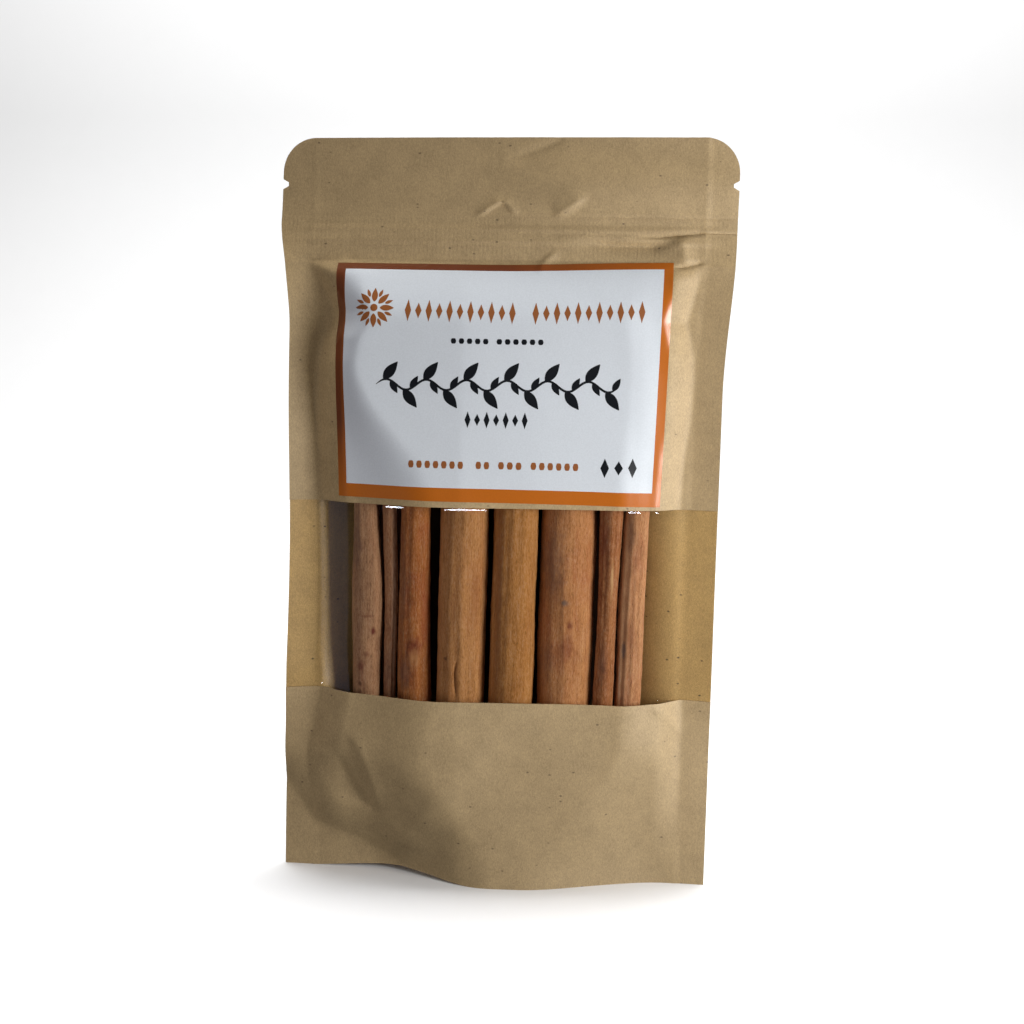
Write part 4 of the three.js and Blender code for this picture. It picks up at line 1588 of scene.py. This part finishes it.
def bark_material(order, values):
    """Bark in a quill's own tones, with its marks."""
    material, tree, surface, place = new_material(f"cinnamon_bark_{order + 1}")
    shift = (0.13 * order, 0.0, 0.31 * order)
    moved = tree.add("ShaderNodeMapping", {"Vector": place, "Location": shift}).outputs[0]
    tones = dict(zip(("Base", "Pale", "Deep", "Red", "Mottle", "Reddening"), values))
    grain = tree.group("bark_grain", bark_grain_group, {"Vector": moved, **tones})
    colour = grain["Color"]
    for x, z, half_x, half_z, tone, strength in MARKS[order]:
        given = {
            "Vector": place,
            "Centre": (x * MM, MARK_Y, z * MM),
            "Size": (half_x * MM, MARK_DEPTH, half_z * MM),
            "Color": colour,
            "Mark": tone,
            "Strength": strength,
        }
        colour = tree.group("bark_mark", bark_mark_group, given)["Color"]
    rough = tree.remap(grain["Height"], 0.4, 0.8, 0.6, 0.48)
    coat(tree, surface, colour, rough, grain["Height"], 0.5, 0.00014, 0.35)
    return material


class POUCH_OT_quills(bpy.types.Operator):
    """Builds the eight cinnamon quills"""

    bl_idname = "pouch.quills"
    bl_label = "Cinnamon Quills"

    def execute(self, context):
        own = context.scene.quills
        for order, row in enumerate(QUILLS):
            name = f"stick_{order + 1}"
            material = bark_material(order, BARKS[order])
            make_piece(f"quill_{order + 1}", [quill_mesh(row, order, own)], [material], "cinnamon_bark", name)
        return {"FINISHED"}


# ---------------------------------------------------------------- stage


# Lights: place, aim and two sides in metres, the setting and the factor of the power, and
# either matt, for a light that shows in no gloss, or the finish on which alone it shines.
LIGHTS = {
    "key_light": ((0.22, -0.13, 0.11), (0.0, 0.0, 0.10), (0.10, 0.12), "key_power", 1.0, "matt"),
    "fill_light": ((-0.40, -0.30, 0.05), (0.0, 0.0, 0.10), (0.20, 0.25), "fill_power", 1.0, "matt"),
    "label_shine": ((0.22, -0.13, 0.152), (0.0, 0.0, 0.13), (0.10, 0.11), "shine_power", 1.0, "label_paper"),
    "kraft_shine": ((0.24, -0.13, 0.085), (0.0, 0.0, 0.08), (0.10, 0.12), "shine_power", 2.0, "kraft_paper"),
    "glint_light": ((0.1, -0.43, 0.66), (0.1, 0.0, 0.10), (1.7, 0.3), "glint_power", 1.0, "clear_film"),
    "side_light": ((-0.45, -0.10, 0.08), (0.0, 0.0, 0.08), (0.4, 0.3), "side_power", 1.0, "clear_film"),
    "floor_light": ((0.0, 0.45, 1.7), (0.0, 0.35, 0.0), (1.8, 0.8), "floor_power", 1.0, "matt"),
    "backdrop_light": ((0.0, 0.1, 1.3), (0.0, 1.3, 0.5), (1.6, 0.5), "floor_power", 0.5, "matt"),
}
LIGHT_COLOURS = {"fill_light": (0.99, 0.93, 1.0), "side_light": (0.95, 0.88, 1.0)}
# The camera: place in metres, turns in degrees, and its lens by sensor and picture width.
CAMERA = {
    "place": (0.0287, -0.3201, 0.1375),
    "yaw": -4.62,
    "pitch": 6.41,
    "roll": 1.19,
    "sensor": 36.0,
    "focal_pixels": 1200.0,
    "picture_pixels": 1024.0,
}


def add_light(own, name):
    """An area light that lights matt surfaces without showing in gloss, or else only shines on
    the pieces of one finish."""
    place, aim, size, setting, factor, shows = LIGHTS[name]
    data = bpy.data.lights.new(name, "AREA")
    data.shape = "RECTANGLE"
    data.size = size[0]
    data.size_y = size[1]
    data.energy = factor * getattr(own, setting)
    data.color = LIGHT_COLOURS.get(name, (1.0, 1.0, 1.0))
    light = bpy.data.objects.new(name, data)
    light.location = place
    light.visible_camera = False
    light.visible_diffuse = shows == "matt"
    light.visible_glossy = shows != "matt"
    if shows != "matt":
        light.light_linking.receiver_collection = shine_on(shows)
    light.rotation_euler = (Vector(aim) - Vector(place)).to_track_quat("-Z", "Y").to_euler()
    bpy.context.scene.collection.objects.link(light)


def backdrop(own):
    """A pale floor that curves up into a backdrop."""
    half = 1.6
    near = -1.2
    back = 0.9
    bend = 0.5
    top = 2.4
    profile = [(near, 0.0), (back, 0.0)]
    for turn in np.linspace(0.08, math.pi / 2, 16):
        profile.append((back + bend * math.sin(turn), bend - bend * math.cos(turn)))
    profile.append((back + bend, top))
    xs = np.linspace(-half, half, 9)
    points = [(x, y, z) for y, z in profile for x in xs]
    faces = []
    for r in range(len(profile) - 1):
        for c in range(len(xs) - 1):
            i = r * len(xs) + c
            faces.append((i, i + 1, i + 1 + len(xs), i + len(xs)))
    mesh = bpy.data.meshes.new("studio_floor")
    mesh.from_pydata(points, [], faces)
    mesh.polygons.foreach_set("use_smooth", np.ones(len(mesh.polygons), bool))
    material, tree, surface, place = new_material("studio_paper")
    mottle = tree.noise(place, 40.0, 2.0)
    tone = tree.blend(mottle, own.floor, [c * 0.985 for c in own.floor])
    skin = tree.add("ShaderNodeBsdfPrincipled", {"Base Color": tone, "Roughness": 0.9})
    tree.put(surface, skin.outputs[0])
    mesh.materials.append(material)
    floor = bpy.data.objects.new("studio_floor", mesh)
    floor.visible_diffuse = False  # keeps its glare off the pouch
    floor.visible_glossy = False
    bpy.context.scene.collection.objects.link(floor)


def add_camera():
    """A level standing view, a little from the right and above."""
    yaw, pitch, roll = (math.radians(CAMERA[key]) for key in ("yaw", "pitch", "roll"))
    ahead = Vector((math.sin(yaw) * math.cos(pitch), math.cos(yaw) * math.cos(pitch), -math.sin(pitch)))
    level = Vector((math.cos(yaw), -math.sin(yaw), 0.0))
    above = level.cross(ahead)
    right = level * math.cos(roll) + above * math.sin(roll)
    up = above * math.cos(roll) - level * math.sin(roll)
    data = bpy.data.cameras.new("camera")
    data.sensor_width = CAMERA["sensor"]
    data.lens = CAMERA["sensor"] * CAMERA["focal_pixels"] / CAMERA["picture_pixels"]
    data.clip_start = 0.01
    data.clip_end = 20.0
    camera = bpy.data.objects.new("camera", data)
    turn = Matrix((right, up, -ahead)).transposed().to_4x4()
    camera.matrix_world = Matrix.Translation(Vector(CAMERA["place"])) @ turn
    bpy.context.scene.collection.objects.link(camera)
    bpy.context.scene.camera = camera


class POUCH_OT_stage(bpy.types.Operator):
    """Builds the floor, the lights and the camera"""

    bl_idname = "pouch.stage"
    bl_label = "Studio"

    def execute(self, context):
        own = context.scene.stage
        backdrop(own)
        for name in LIGHTS:
            add_light(own, name)
        world = bpy.data.worlds.new("studio")
        world.use_nodes = True
        sky = world.node_tree.nodes["Background"].inputs
        sky["Color"].default_value = (1.0, 1.0, 1.0, 1.0)
        sky["Strength"].default_value = own.world
        world.cycles_visibility.glossy = False
        context.scene.world = world
        context.scene.view_settings.view_transform = "Standard"
        add_camera()
        return {"FINISHED"}


# ---------------------------------------------------------------- add-on


class POUCH_PT_panel(bpy.types.Panel):
    """Lists the pouch's pieces and their settings"""

    bl_idname = "POUCH_PT_panel"
    bl_label = "Pouch of Quills"
    bl_space_type = "VIEW_3D"
    bl_region_type = "UI"
    bl_category = "Pouch"

    def draw(self, context):
        scene = context.scene
        groups = (
            (scene.pouch, POUCH_OT_kraft_webs),
            (scene.film, POUCH_OT_window_film),
            (scene.label, POUCH_OT_label),
            (scene.quills, POUCH_OT_quills),
            (scene.stage, POUCH_OT_stage),
        )
        for settings, operator in groups:
            box = self.layout.box()
            box.operator(operator.bl_idname)
            for key in settings.__annotations__:
                box.prop(settings, key)


SETTINGS = {
    "pouch": PouchSettings,
    "film": FilmSettings,
    "label": LabelSettings,
    "quills": QuillSettings,
    "stage": StageSettings,
}
OPERATORS = (
    POUCH_OT_kraft_webs,
    POUCH_OT_window_film,
    POUCH_OT_label,
    POUCH_OT_quills,
    POUCH_OT_stage,
)


def register():
    for cls in (*SETTINGS.values(), *OPERATORS, POUCH_PT_panel):
        bpy.utils.register_class(cls)
    for name, cls in SETTINGS.items():
        setattr(bpy.types.Scene, name, bpy.props.PointerProperty(type=cls))


def unregister():
    for name in SETTINGS:
        delattr(bpy.types.Scene, name)
    for cls in reversed((*SETTINGS.values(), *OPERATORS, POUCH_PT_panel)):
        bpy.utils.unregister_class(cls)


def main():
    register()
    bpy.ops.pouch.stage()
    bpy.ops.pouch.kraft_webs()
    bpy.ops.pouch.window_film()
    bpy.ops.pouch.label()
    bpy.ops.pouch.quills()


if __name__ == "__main__":
    main()
